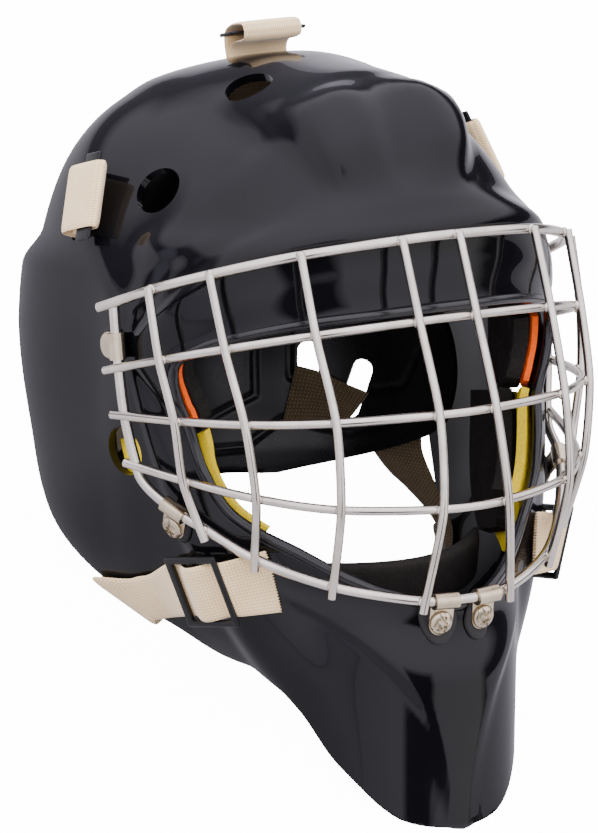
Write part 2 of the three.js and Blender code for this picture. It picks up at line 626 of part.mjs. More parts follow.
// A point beside the back plate: `away` is the distance from its inner face, towards the head.
function byPlate(z, degrees, away) {
  const turn = radians(degrees);
  return platePoint(z, degrees).add(vec(-Math.sin(turn), -Math.cos(turn), 0).multiplyScalar(away));
}

// The stiff bar inside a loop, whose ends stick out on both sides of the elastic.
function buildLoopBar(loop, sign) {
  const f = strapFrame(loop, sign);
  const middle = f.middle.clone().addScaledVector(f.back, 3.6 + LOOP_BAR.width / 2 - loop.reach)
    .addScaledVector(f.out, (loop.low + loop.high) / 2);
  return placed(new THREE.BoxGeometry(LOOP_BAR.length, LOOP_BAR.width, LOOP_BAR.thickness), middle,
    f.across, f.back, f.across.clone().cross(f.back));
}
// The harness's inner band on each side, a fan of elastic lying against the inside of the back plate
// over the lower ends of its slots: height and degrees.
const INNER_BAND = [
  [[-20, 30], [-23, 37], [-28, 44.5], [-32, 52]],
  [[-33, 28], [-34, 35], [-36, 42], [-39, 49]],
  [[-46, 26], [-46, 32.5], [-46, 39], [-46, 45.5]],
];
function buildInnerBand(sign) {
  const grid = INNER_BAND.map((row) => row.map(([z, degrees]) => platePoint(z, degrees * sign)));
  return slab(grid, sign * (GAP + 1.4), sign * (GAP + 1.4 + ELASTIC.thickness));
}

function buildTopStrap() {
  const across = vec(1, 0, 0);
  return slotLoop(TOP_LOOP, 1, [
    { at: vec(0, 176, 112), across }, { at: vec(0, 188, 98), across }, { at: vec(0, 199, 84), across },
    { at: byPlate(68, 0, 4), across }, { at: byPlate(52, 0, 4), across }, { at: byPlate(38, 0, 4), across },
  ]);
}
function buildUpperStrap(sign) {
  const { across } = strapFrame(UPPER_LOOP, sign);
  const upright = vec(0, 0, 1);
  return slotLoop(UPPER_LOOP, sign, [
    { at: vec(93.5 * sign, 166, 62), across: across.clone().lerp(upright, 0.3) },
    { at: vec(93 * sign, 168, 42), across: across.clone().lerp(upright, 0.7) },
    { at: byPlate(20, 70 * sign, -6), across: upright },
    { at: byPlate(14, 62 * sign, -5), across: upright },
    { at: byPlate(10, 50 * sign, -5), across: upright },
  ]);
}

// Middle of the lower strap on the jaw: its cut end before the buckle, and its way back to the rim.
const STRAP_END = { x: 72.5, y: 48, z: -81.8 };
const STRAP_BACK = [{ x: 88, y: 114, z: -95.5 }, { x: 88, y: 122, z: -97 }, { x: 87, y: 131, z: -98 }];
const STRAP_LIFT = 2.6;
const LOWER_ACROSS = vec(0.28, 0.12, 0.95);
const BUCKLE = {
  middle: vec(91.8, 71, -86.7), along: 34, across: 35, bar: 4.2, thickness: 2.6, lift: 6, window: 28.6,
};
const RIM_LOWER = { spoke: 9.45, width: 37 };

const flipped = (p, sign) => vec(p.x * sign, p.y, p.z);
function liftedRow(middle, across, width, lift, columns = 2) {
  const line = [];
  for (let j = 0; j <= columns; j += 1) {
    const foot = onShell(middle.clone().addScaledVector(across, width * (j / columns - 0.5)));
    line.push(foot.addScaledVector(shellNormal(foot), lift));
  }
  return line;
}
function buckleFrame(sign) {
  const middle = onShell(flipped(BUCKLE.middle, sign));
  const out = shellNormal(middle);
  const x = flipped(LOWER_ACROSS, sign);
  x.addScaledVector(out, -x.dot(out)).normalize();
  const along = out.clone().cross(x);
  if (along.y < 0) {
    along.negate();
    x.negate();
  }
  return { middle, out, x, along };
}
function buildLowerStrap(sign) {
  const width = 27;
  const acrossStrap = flipped(LOWER_ACROSS, sign);
  const onJaw = (s) => liftedRow(vec(s.x * sign, s.y, s.z), acrossStrap, width, STRAP_LIFT);
  const f = buckleFrame(sign);
  const turn = f.x.dot(acrossStrap) < 0 ? -1 : 1;
  const under = BUCKLE.lift - ELASTIC.thickness / 2 - GAP;
  const over = BUCKLE.lift + BUCKLE.thickness + ELASTIC.thickness / 2 + GAP;
  const inBuckle = ([a, b]) => [-0.5, 0, 0.5].map((j) => f.middle.clone().addScaledVector(f.along, a)
    .addScaledVector(f.out, b).addScaledVector(f.x, turn * width * j));
  const threaded = [[-18.5, under], [-12, under], [-3, over], [3, over], [12, under], [18.5, under]];
  const rows = [onJaw(STRAP_END), ...threaded.map(inBuckle), ...STRAP_BACK.map(onJaw)];
  const rim = shellPoint(RIM_LOWER.spoke * sign, 1);
  const out = shellNormal(rim);
  const onRim = (step) => shellPoint((RIM_LOWER.spoke + step) * sign, 1);
  const rimAlong = onRim(-0.3).sub(onRim(0.3)).normalize();
  const back = out.clone().cross(rimAlong).normalize();
  if (back.dot(rim.clone().sub(shellPoint(RIM_LOWER.spoke * sign, 0.9))) < 0) back.negate();
  const fold = [[-2, 2.6, 37], [2.4, 1.8, 37], [3.4, -2, 37], [2, -5.4, 36], [-3, -7, 34]];
  const across = (middle, direction, w) => [-0.5, 0, 0.5].map((j) => (
    middle.clone().addScaledVector(direction, w * j)));
  for (const [a, b, w] of fold) {
    rows.push(across(rim.clone().addScaledVector(back, a).addScaledVector(out, b), rimAlong, w));
  }
  const inner = [
    { at: vec(86 * sign, 156, -84), lean: vec(-0.15 * sign, 0.85, 0.4), w: 31 },
    { at: vec(84.5 * sign, 170, -72), lean: vec(-0.35 * sign, 0.9, 0.15), w: 28 },
    { at: byPlate(-58, 59.5 * sign, -6), lean: vec(-0.51 * sign, 0.86, 0), w: 27 },
    { at: byPlate(-45, 59 * sign, -6), lean: vec(-0.515 * sign, 0.857, 0), w: 27 },
  ];
  for (const { at, lean, w } of inner) rows.push(across(at, lean.clone().normalize(), w));
  return cutBy(slab(rows, -ELASTIC.thickness / 2, ELASTIC.thickness / 2), [shellClearance]);
}
function buildBuckle(sign) {
  const f = buckleFrame(sign);
  const [w, h] = [BUCKLE.across / 2, BUCKLE.along / 2];
  const corners = [[-w, -h], [w, -h], [w, h], [-w, h]];
  const outline = new THREE.Shape(corners.map(([a, b]) => new THREE.Vector2(a, b)));
  const [half, inner, outer] = [BUCKLE.window / 2, BUCKLE.bar / 2, h - BUCKLE.bar];
  for (const s of [-1, 1]) {
    const hole = [[-half, s * inner], [half, s * inner], [half, s * outer], [-half, s * outer]];
    outline.holes.push(new THREE.Path(hole.map(([a, b]) => new THREE.Vector2(a, b))));
  }
  const frame = new THREE.ExtrudeGeometry(outline, { depth: BUCKLE.thickness, bevelEnabled: false });
  return placed(frame.translate(0, 0, BUCKLE.lift), f.middle, f.x, f.along, f.out);
}

// ---------------------------------------------------------------- padding
// A pad on the inside of the shell between two spokes and two depths back from the face edge.
function shellPad(sign, fromSpoke, toSpoke, fromDepth, toDepth, low, high, rows = 5, columns = 2) {
  const grid = [];
  for (let i = 0; i <= rows; i += 1) {
    const line = [];
    for (let j = 0; j <= columns; j += 1) {
      const spoke = THREE.MathUtils.lerp(fromSpoke, toSpoke, i / rows);
      line.push(shellPoint(sign * spoke, THREE.MathUtils.lerp(fromDepth, toDepth, j / columns)));
    }
    grid.push(line);
  }
  return sign > 0 ? slab(grid, -low, -high) : slab(grid, low, high);
}
const UNDER = WALL + 2.4; // outer side of the padding, inwards from the shell's outer surface
const SLING = { reach: 62, front: 46, back: 84, top: -76, bottom: -98, thickness: 8 };
function buildChinSling() {
  const grid = [];
  for (let i = -5; i <= 5; i += 1) {
    const t = i / 5;
    const [x, y] = [SLING.reach * t, THREE.MathUtils.lerp(SLING.front, SLING.back, t * t)];
    grid.push([0, 0.5, 1].map((j) => vec(x, y + 3 * j, THREE.MathUtils.lerp(SLING.top, SLING.bottom, j))));
  }
  return slab(grid, -SLING.thickness / 2, SLING.thickness / 2);
}

// ---------------------------------------------------------------- assembly
const clampFrames = [-1, 1].flatMap((sign) => CLAMPS.map((clamp) => {
  const frame = clampFrame(clamp, sign);
  return { ...frame, name: `${clamp.name}_${sign < 0 ? 'right' : 'left'}` };
}));

piece('shell', buildShell(clampFrames), FINISH.shell);
piece('face_trim', buildFaceTrim(), FINISH.trim);
piece('cage', buildCage(), FINISH.steel);
for (const frame of clampFrames) {
  piece(`clamp_${frame.name}`, buildClamp(frame), FINISH.clamp);
  piece(`washer_${frame.name}`, buildWasher(frame), FINISH.rubber);
  piece(`screw_${frame.name}`, buildScrew(frame), FINISH.clamp);
}
piece('back_plate', buildPlate(), FINISH.plate);
piece('top_strap', buildTopStrap(), FINISH.elastic);
pair('upper_strap', buildUpperStrap, FINISH.elastic);
piece('top_strap_bar', buildLoopBar(TOP_LOOP, 1), FINISH.plastic);
pair('upper_strap_bar', (sign) => buildLoopBar(UPPER_LOOP, sign), FINISH.plastic);
pair('inner_band', buildInnerBand, FINISH.elastic);
pair('lower_strap', buildLowerStrap, FINISH.elastic);
pair('buckle', buildBuckle, FINISH.plastic);
piece('brow_pad_orange', shellPad(1, -3.5, 3.5, 0, 0.2, UNDER + 1.4, UNDER + 4, 10, 2), FINISH.orangeFoam);
piece('brow_pad_foam', shellPad(1, -3.5, 3.5, 0, 0.2, UNDER + 4.5, UNDER + 12, 10, 2), FINISH.greyFoam);
pair('temple_pad_orange', (s) => shellPad(s, 4.9, 6.9, -0.005, 0.34, UNDER, UNDER + 3.6), FINISH.orangeFoam);
pair('temple_pad_foam', (s) => shellPad(s, 4.9, 6.9, -0.005, 0.34, UNDER + 4, UNDER + 13), FINISH.greyFoam);
pair('cheek_pad_yellow', (s) => shellPad(s, 7.1, 10.4, -0.04, 0.48, UNDER, UNDER + 5), FINISH.yellowFoam);
pair('cheek_pad_foam', (s) => shellPad(s, 7.1, 9.8, 0, 0.48, UNDER + 6.4, UNDER + 15), FINISH.greyFoam);
piece('chin_sling', buildChinSling(), FINISH.greyFoam);

// ---------------------------------------------------------------- stand on the table
const tipped = new THREE.Group();
tipped.rotation.x = -radians(REST_PITCH);
tipped.add(mask);
const part = new THREE.Group();
part.add(tipped);
part.updateMatrixWorld(true);
const box = new THREE.Box3().setFromObject(part, true);
tipped.position.set(0, -(box.min.y + box.max.y) / 2, -box.min.z);

export default part;
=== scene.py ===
# Hockey goalie mask: gloss black shell, nickel-plated wire cage, cream elastic harness and foam
# padding, standing on a pale studio floor. Forms are written in millimetres in the "worn" frame,
# whose origin is the middle of the cage's third cross bar, and stand() tips them onto the floor.
import math

import bpy
import numpy as np
from mathutils import Matrix


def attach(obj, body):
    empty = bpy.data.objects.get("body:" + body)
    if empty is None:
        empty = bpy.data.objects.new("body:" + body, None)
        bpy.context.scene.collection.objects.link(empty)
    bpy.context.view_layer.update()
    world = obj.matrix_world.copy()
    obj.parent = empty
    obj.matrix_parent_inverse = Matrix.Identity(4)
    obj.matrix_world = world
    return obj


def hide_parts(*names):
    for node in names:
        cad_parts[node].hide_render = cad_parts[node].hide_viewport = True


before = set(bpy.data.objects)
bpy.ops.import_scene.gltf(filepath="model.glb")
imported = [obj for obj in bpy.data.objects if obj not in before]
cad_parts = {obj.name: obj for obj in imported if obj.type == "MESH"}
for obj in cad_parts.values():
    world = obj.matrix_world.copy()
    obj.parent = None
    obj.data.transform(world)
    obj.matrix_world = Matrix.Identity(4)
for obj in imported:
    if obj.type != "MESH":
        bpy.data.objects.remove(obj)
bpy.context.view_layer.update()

MM = 0.001
PITCH = math.radians(30)
SEAT = np.array([0, -67.306, 166.5])
WALL = 4.0
GAP = 0.4
UPRIGHT = np.array([0, 0, 1.0])
SIDES = ((-1, "right"), (1, "left"))


def stand(points):
    """Worn-frame millimetres to metres on the floor."""
    p = np.asarray(points, float)
    y = p[..., 1] * math.cos(PITCH) + p[..., 2] * math.sin(PITCH)
    z = p[..., 2] * math.cos(PITCH) - p[..., 1] * math.sin(PITCH)
    return (np.stack([p[..., 0], y, z], -1) + SEAT) * MM


def standing_matrix(origin, x, y, z):
    """Places what is drawn about the origin, in metres, at a worn-frame point and axes."""
    turn = Matrix.Rotation(-PITCH, 4, "X")
    axes = Matrix([[x[i], y[i], z[i], 0] for i in range(3)] + [[0, 0, 0, 1]])
    here = Matrix.Translation([float(v) for v in stand(origin)])
    return here @ turn @ axes


# ---------------------------------------------------------------- studio: camera, floor, lights
HEADING, CLIMB = math.radians(-32.73), math.radians(11.95)
RIGHTWARDS = np.array([math.cos(HEADING), math.sin(HEADING), 0])
AHEAD = np.array([-math.sin(HEADING), math.cos(HEADING), 0])
UPWARDS = AHEAD * math.sin(CLIMB) + [0, 0, math.cos(CLIMB)]
BACKWARDS = -AHEAD * math.cos(CLIMB) + [0, 0, math.sin(CLIMB)]


def seen_from(right, up, back):
    """A worn-frame point given by its distances along the view's own directions, in mm."""
    return right * RIGHTWARDS + up * UPWARDS + back * BACKWARDS


camera_data = bpy.data.cameras.new("camera")
camera_data.sensor_fit = "VERTICAL"
camera_data.sensor_height = 36
camera_data.lens = 333.0
camera_data.clip_end = 20
camera = bpy.data.objects.new("camera", camera_data)
bpy.context.scene.collection.objects.link(camera)
camera.matrix_world = standing_matrix(seen_from(-74.4, -1.87, 3425), RIGHTWARDS, UPWARDS, BACKWARDS)
bpy.context.scene.camera = camera


# ---------------------------------------------------------------- small helpers
def colour(hex_value):
    """sRGB hex to linear RGBA."""
    parts = [int(hex_value[i:i + 2], 16) / 255 for i in (1, 3, 5)]
    return [c / 12.92 if c <= 0.04045 else ((c + 0.055) / 1.055) ** 2.4 for c in parts] + [1]


def only(obj):
    """Selects one object and nothing else."""
    if bpy.context.object and bpy.context.object.mode != "OBJECT":
        bpy.ops.object.mode_set(mode="OBJECT")
    bpy.ops.object.select_all(action="DESELECT")
    obj.select_set(True)
    bpy.context.view_layer.objects.active = obj
    return obj


def smooth(x, low, high):
    t = np.clip((np.asarray(x, float) - low) / (high - low), 0, 1)
    return t * t * (3 - 2 * t)


def unit(v):
    v = np.asarray(v, float)
    return v / np.linalg.norm(v, axis=-1, keepdims=True)


def table_curve(rows, column):
    """A smooth curve through one column of a table, by its first column."""
    xs = np.array([r[0] for r in rows], float)
    ys = np.array([r[column] for r in rows], float)
    last = len(xs) - 1
    beside = [(max(i - 1, 0), min(i + 1, last)) for i in range(last + 1)]
    slopes = np.array([(ys[b] - ys[a]) / (xs[b] - xs[a]) for a, b in beside])

    def value(x):
        i = np.clip(np.searchsorted(xs, x, side="left") - 1, 0, last - 1)
        span = xs[i + 1] - xs[i]
        t = np.clip((x - xs[i]) / span, 0, 1)
        return ((2 * t**3 - 3 * t**2 + 1) * ys[i] + (t**3 - 2 * t**2 + t) * slopes[i] * span
                + (-2 * t**3 + 3 * t**2) * ys[i + 1] + (t**3 - t**2) * slopes[i + 1] * span)
    return value


def through(points, count, tension=0.5):
    """Points of a smooth curve through the given ones (their rows may hold any number of values)."""
    p = np.asarray(points, float)
    spans = len(p) - 1
    longer = np.concatenate([[2 * p[0] - p[1]], p, [2 * p[-1] - p[-2]]])
    out = []
    for place in np.linspace(0, spans, count):
        i = min(int(place), spans - 1)
        w = place - i
        a, b, c, d = longer[i:i + 4]
        s, e = tension * (c - a), tension * (d - b)
        out.append(b + s * w + (3 * c - 3 * b - 2 * s - e) * w**2 + (2 * b - 2 * c + s + e) * w**3)
    return np.array(out)


def mesh_object(name, vertices, faces, uvs=None):
    """An object from points in metres. Its faces are turned outwards."""
    vertices = np.asarray(vertices, float).reshape(-1, 3)
    quads = np.array([f if len(f) == 4 else (*f, f[0]) for f in faces])
    a, b, c, d = (vertices[quads[:, k]] for k in range(4))
    volume = np.einsum("ij,ij->", a, np.cross(b, c)) + np.einsum("ij,ij->", a, np.cross(c, d))
    order = faces if volume > 0 else [f[::-1] for f in faces]
    mesh = bpy.data.meshes.new(name)
    mesh.from_pydata(vertices.tolist(), [], [tuple(int(k) for k in f) for f in order])
    if uvs is not None:
        flat = np.asarray(uvs, float).reshape(-1, 2)
        layer = mesh.uv_layers.new(name="weave")
        corners = np.array([loop.vertex_index for loop in mesh.loops])
        layer.data.foreach_set("uv", flat[corners].astype(np.float32).ravel())
    mesh.update()
    obj = bpy.data.objects.new(name, mesh)
    bpy.context.scene.collection.objects.link(obj)
    return obj


def grid_faces(rows, columns, closed=False, first=0):
    """Quads of a grid of points, row by row. A closed one also joins its last row and column to its
    first."""
    left_out = 0 if closed else 1
    faces = []
    for i in range(rows - left_out):
        here, there = first + i * columns, first + (i + 1) % rows * columns
        for j in range(columns - left_out):
            beside = (j + 1) % columns
            faces.append((here + j, there + j, there + beside, here + beside))
    return faces


def sheet_faces(rows, columns):
    """Both sides and the rim of a sheet whose near grid of points is followed by its far one."""
    total = rows * columns
    rim = ([(i, i + 1) for i in range(columns - 1)]
           + [(i * columns + columns - 1, (i + 1) * columns + columns - 1) for i in range(rows - 1)]
           + [(total - 1 - i, total - 2 - i) for i in range(columns - 1)]
           + [((rows - 1 - i) * columns, (rows - 2 - i) * columns) for i in range(rows - 1)])
    return ([f[::-1] for f in grid_faces(rows, columns)] + grid_faces(rows, columns, first=total)
            + [(a, b, total + b, total + a) for a, b in rim])


def grid_normals(grid, wrap=False):
    if wrap:
        along = np.roll(grid, -1, 0) - np.roll(grid, 1, 0)
    else:
        along = np.gradient(grid, axis=0)
    return unit(np.cross(along, np.gradient(grid, axis=1)))


def apply_modifiers(obj):
    only(obj)
    for modifier in list(obj.modifiers):
        bpy.ops.object.modifier_apply(modifier=modifier.name)
    return obj


def combine(obj, tools, operation="DIFFERENCE", solver="EXACT"):
    """Cuts the tools out of obj, or unites them with it, and removes them."""
    for tool in tools:
        modifier = obj.modifiers.new("boolean", "BOOLEAN")
        modifier.operation, modifier.object, modifier.solver = operation, tool, solver
        apply_modifiers(obj)
        bpy.data.objects.remove(tool)
    return obj


def soften(obj, width, segments=2, angle=35):
    """Rounds the sharp edges by `width` mm."""
    modifier = obj.modifiers.new("bevel", "BEVEL")
    modifier.width, modifier.segments = width * MM, segments
    modifier.limit_method, modifier.angle_limit = "ANGLE", math.radians(angle)
    return apply_modifiers(obj)


def shade(obj, angle=40):
    only(obj)
    bpy.ops.object.shade_smooth_by_angle(angle=math.radians(angle))
    return obj


def join(name, parts):
    only(parts[0])
    for part in parts[1:]:
        part.select_set(True)
    bpy.ops.object.join()
    parts[0].name = name
    return parts[0]


def settle(obj, matrix):
    """Puts the place into the mesh and leaves the object at the origin."""
    obj.data.transform(matrix)
    obj.data.update()
    return obj


def piece(obj, material, slot, *nodes):
    """Gives a finished piece its material and its place in the part."""
    obj.data.materials.clear()
    obj.data.materials.append(material)
    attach(obj, "root")
    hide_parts(*nodes)
    return obj


def block(x, y, z):
    """A box of that size in mm about the origin."""
    bpy.ops.mesh.primitive_cube_add(size=1, location=(0, 0, 0))
    obj = bpy.context.object
    obj.scale = (x * MM, y * MM, z * MM)
    bpy.ops.object.transform_apply(location=False, rotation=False, scale=True)
    return obj


def drum(radius, depth, sides=48, middle=(0, 0, 0)):
    """A round bar or disc along Z, in mm."""
    bpy.ops.mesh.primitive_cylinder_add(vertices=sides, radius=radius * MM, depth=depth * MM,
                                        location=[v * MM for v in middle])
    bpy.ops.object.transform_apply(location=True, rotation=False, scale=False)
    return bpy.context.object


def bent_rod(name, path, radius, closed=False):
    """A round rod along a worn-frame path, in mm."""
    bpy.ops.object.select_all(action="DESELECT")
    bpy.ops.curve.primitive_nurbs_path_add()
    obj = bpy.context.object
    obj.name = name
    curve = obj.data
    curve.splines.clear()
    line = curve.splines.new("POLY")
    line.points.add(len(path) - 1)
    line.points.foreach_set("co", np.concatenate([stand(path), np.ones((len(path), 1))], 1).ravel())
    line.use_cyclic_u = closed
    curve.bevel_depth, curve.bevel_resolution = radius * MM, 5
    curve.use_fill_caps = not closed
    only(obj)
    bpy.ops.object.convert(target="MESH")
    return shade(bpy.context.object, 60)


# ---------------------------------------------------------------- materials
def add(tree, kind, links=(), **settings):
    """Adds a node: settings are its own properties or its inputs' values, links its inputs' sources."""
    made = tree.nodes.new(kind)
    for name, value in settings.items():
        label = name.replace("_", " ")
        found = [s for s in made.inputs if s.name.lower() == label.lower()]
        if found and not hasattr(made, name):
            found[0].default_value = value
        else:
            setattr(made, name, value)
    for socket, source in links:
        tree.links.new(source, made.inputs[socket])
    return made


def start(name, **values):
    """A named material with its shader's constant values set."""
    material = bpy.data.materials.new(name)
    material.use_nodes = True
    shader = material.node_tree.nodes["Principled BSDF"]
    for label, value in values.items():
        shader.inputs[label.replace("_", " ")].default_value = value
    return material, material.node_tree, shader


def maths(tree, operation, a, b=None):
    made = tree.nodes.new("ShaderNodeMath")
    made.operation = operation
    for socket, value in zip(made.inputs, (a, b)):
        if isinstance(value, (int, float)):
            socket.default_value = value
        elif value is not None:
            tree.links.new(value, socket)
    return made.outputs[0]


def blotches(tree, size_mm, detail=3):
    """Noise of that grain, in object space."""
    place = add(tree, "ShaderNodeTexCoord").outputs["Object"]
    noise = add(tree, "ShaderNodeTexNoise", [("Vector", place)], Scale=1000 / size_mm, Detail=detail,
                Roughness=0.55)
    return noise.outputs["Fac"]


def between(tree, factor, low, high):
    """Turns 0..1 into low..high."""
    made = add(tree, "ShaderNodeMapRange", [("Value", factor)])
    made.inputs["To Min"].default_value, made.inputs["To Max"].default_value = low, high
    return made.outputs[0]


def tints(tree, factor, *stops):
    """Colours along a factor: pairs of position and hex."""
    ramp = add(tree, "ShaderNodeValToRGB", [(0, factor)])
    elements = ramp.color_ramp.elements
    while len(elements) < len(stops):
        elements.new(0.5)
    for element, (position, hex_value) in zip(elements, stops):
        element.position, element.color = position, colour(hex_value)
    return ramp.outputs[0]


def weighted(tree, *terms):
    """The sum of pairs of a value and its factor."""
    parts = [maths(tree, "MULTIPLY", value, factor) for value, factor in terms]
    for part in parts[1:]:
        parts[0] = maths(tree, "ADD", parts[0], part)
    return parts[0]


def coat(tree, shader, base, rough=None):
    """Links a colour, and a roughness if there is one, to the shader."""
    tree.links.new(base, shader.inputs["Base Color"])
    if rough is not None:
        tree.links.new(rough, shader.inputs["Roughness"])


def relief(tree, shader, height, depth_mm, strength, socket="Normal"):
    bump = add(tree, "ShaderNodeBump", [("Height", height)], Strength=strength, Distance=depth_mm * MM)
    tree.links.new(bump.outputs[0], shader.inputs[socket])


def lacquered_composite():
    """Moulded fibreglass under gloss black lacquer: deep black, mirror-like, with the faint long
    waviness of sprayed lacquer and dust that dulls it a little in places."""
    material, tree, shader = start("lacquered_black_composite", IOR=1.5, Specular_IOR_Level=0.02,
                                   Coat_Weight=0.47, Coat_Roughness=0.015, Coat_IOR=1.5)
    haze, dust = blotches(tree, 45, 4), blotches(tree, 1.6, 2)
    coat(tree, shader, tints(tree, haze, (0.3, "#08080a"), (0.75, "#0d0d10")),
         maths(tree, "ADD", between(tree, haze, 0.12, 0.22), between(tree, dust, 0.0, 0.08)))
    relief(tree, shader, blotches(tree, 9, 1), 0.05, 0.35, "Coat Normal")
    return material


def beading(name, dark, light, gloss):
    """Extruded vinyl edge bead: black with a soft wet shine and fine draw lines."""
    material, tree, shader = start(name, IOR=1.5)
    grain = blotches(tree, 2.5)
    coat(tree, shader, tints(tree, grain, (0.3, dark), (0.8, light)),
         between(tree, grain, gloss, gloss + 0.14))
    relief(tree, shader, grain, 0.06, 0.3)
    return material


def plated_steel(name, bright, dull, low, high):
    """Drawn steel wire under satin nickel: soft bright streaks, slightly darker in patches."""
    material, tree, shader = start(name, Metallic=1.0)
    patch, fine = blotches(tree, 14), blotches(tree, 0.8, 2)
    coat(tree, shader, tints(tree, patch, (0.25, dull), (0.7, bright)),
         maths(tree, "ADD", between(tree, patch, low, high), between(tree, fine, 0, 0.07)))
    relief(tree, shader, fine, 0.02, 0.25)
    return material


def moulded_rubber():
    """Black rubber washers, squeezed and ragged: matt, slightly grey, pitted."""
    material, tree, shader = start("moulded_rubber", IOR=1.52)
    pits = blotches(tree, 0.9, 4)
    coat(tree, shader, tints(tree, pits, (0.3, "#0c0b0b"), (0.8, "#232120")), between(tree, pits, 0.62, 0.9))
    relief(tree, shader, pits, 0.25, 0.7)
    return material


def woven_elastic(name, light, middle, dark, stitch, row):
    """Woven elastic: columns of V-shaped stitches, `stitch` mm wide and `row` mm high, over rubber
    cords; matt and slightly fuzzy."""
    material, tree, shader = start(name, Roughness=0.9, Sheen_Weight=0.35, Sheen_Roughness=0.5)
    place = add(tree, "ShaderNodeUVMap", uv_map="weave").outputs[0]
    split = add(tree, "ShaderNodeSeparateXYZ", [(0, place)])
    along, across = split.outputs[0], split.outputs[1]
    column = maths(tree, "FRACT", maths(tree, "DIVIDE", across, stitch))
    slant = maths(tree, "ABSOLUTE", maths(tree, "SUBTRACT", column, 0.5))
    wave = maths(tree, "ADD", maths(tree, "DIVIDE", along, row), maths(tree, "MULTIPLY", slant, 1.5))
    thread = maths(tree, "SINE", maths(tree, "MULTIPLY", wave, 2 * math.pi))
    thread = maths(tree, "ADD", maths(tree, "MULTIPLY", thread, 0.5), 0.5)
    rib = maths(tree, "SUBTRACT", 1.0, maths(tree, "POWER", maths(tree, "MULTIPLY", slant, 2.0), 3.0))
    height = maths(tree, "MULTIPLY", thread, rib)
    fuzz, soil = blotches(tree, 0.7), blotches(tree, 16)
    shown = weighted(tree, (height, 0.62), (fuzz, 0.22), (soil, 0.2))
    coat(tree, shader, tints(tree, shown, (0.15, dark), (0.45, middle), (0.85, light)))
    relief(tree, shader, maths(tree, "ADD", height, maths(tree, "MULTIPLY", fuzz, 0.35)), 0.22, 0.6)
    return material


def moulded_nylon(name, dark, light, gloss):
    """Injection-moulded black nylon: satin, with a fine spark-eroded texture."""
    material, tree, shader = start(name, IOR=1.53, Specular_IOR_Level=0.28)
    grain, wear = blotches(tree, 0.6, 2), blotches(tree, 12)
    coat(tree, shader, tints(tree, wear, (0.3, dark), (0.8, light)),
         maths(tree, "ADD", between(tree, wear, gloss, gloss + 0.12), between(tree, grain, 0, 0.06)))
    relief(tree, shader, grain, 0.04, 0.35)
    return material


def closed_cell_foam(name, light, dark, cell):
    """Die-cut closed-cell foam: matt, evenly coloured, with open cut cells and a little soiling."""
    material, tree, shader = start(name, IOR=1.45, Specular_IOR_Level=0.15)
    place = add(tree, "ShaderNodeTexCoord").outputs["Object"]
    cells = add(tree, "ShaderNodeTexVoronoi", [("Vector", place)], Scale=1000 / cell).outputs["Distance"]
    soil = blotches(tree, 11, 4)
    mixed = weighted(tree, (cells, 0.45), (soil, 0.65))
    coat(tree, shader, tints(tree, mixed, (0.2, dark), (0.62, light)), between(tree, soil, 0.75, 0.92))
    relief(tree, shader, cells, 0.3, 0.6)
    return material


LACQUER = lacquered_composite()
BEAD = beading("extruded_vinyl_bead", "#08080a", "#141416", 0.16)
WIRE = plated_steel("satin_nickel_wire", "#ddd6cb", "#c2bbb0", 0.1, 0.2)
CLIP = plated_steel("warm_nickel_strip", "#d9cbb2", "#b5a68a", 0.14, 0.26)
RUBBER = moulded_rubber()
CREAM = woven_elastic("cream_woven_elastic", "#f7dfb2", "#ecd0a0", "#bd9862", 1.25, 1.5)
# the same cream elastic painted olive-brown: painted shade on the strap ends and the band that run inside
# the mask, out of the light
SHADE_PAINTED_ELASTIC = woven_elastic("olive_brown_painted_shade_elastic", "#7a6746", "#5d4c30", "#2f2514", 1.5, 1.7)
NYLON = moulded_nylon("moulded_black_nylon", "#060607", "#0f0f11", 0.26)
SHEET = moulded_nylon("satin_black_polyethylene", "#060607", "#0d0d0f", 0.2)
ORANGE = closed_cell_foam("orange_closed_cell_foam", "#ff6410", "#d94205", 0.9)
YELLOW = closed_cell_foam("yellow_closed_cell_foam", "#e2c522", "#bd9806", 0.9)
GREY = closed_cell_foam("dark_grey_closed_cell_foam", "#211e1c", "#110f0e", 1.1)

# ---------------------------------------------------------------- form of the shell
HEAD = np.array([0, 110, 20.0])
HALF_WIDTH = 109.8
CREST_BLEND = 0.04
# angle above straight ahead, reach from the ear axis, roundness of the section
SECTIONS = [
    (-180, 150, 3.6), (-150, 150, 3.6), (-125, 165, 3.4), (-105, 168, 2.6), (-90, 172, 2.08),
    (-78, 188, 1.77), (-70, 202, 1.71), (-64, 193, 1.64), (-57, 164, 1.53), (-50, 157.5, 1.4),
    (-40, 138, 1.5), (-25, 112, 1.7), (0, 86, 1.9), (16, 80, 1.95), (30, 86, 2.05), (44, 97.5, 2),
    (54, 102, 1.78), (68, 119.5, 1.55), (80, 114.5, 1.7), (100, 122.5, 1.8), (115, 130, 2.15),
    (130, 138, 2.9), (150, 142, 3.4), (180, 150, 3.6),
]
reach_at, roundness_at = table_curve(SECTIONS, 1), table_curve(SECTIONS, 2)
# half width of the crown lobes by angle, and of the chin shield by height
lobe_edge_at = table_curve([(46, 26), (52, 37), (62, 45), (76, 51), (92, 57), (130, 64)], 1)
chin_shield_at = table_curve([(-200, 6), (-166, 11), (-134, 22), (-118, 32), (-104, 44), (-92, 58),
                              (-80, 76)], 1)
# the chin is an upright column: how far back its axis stands, its radius, the downward lean where it
# starts and where it is whole, and how sharply it meets the head's form
CHIN_AXIS, CHIN_RADIUS = 58, 55
CHIN_STARTS, CHIN_WHOLE = 0.55, 0.8
CHIN_SHARPNESS = 26


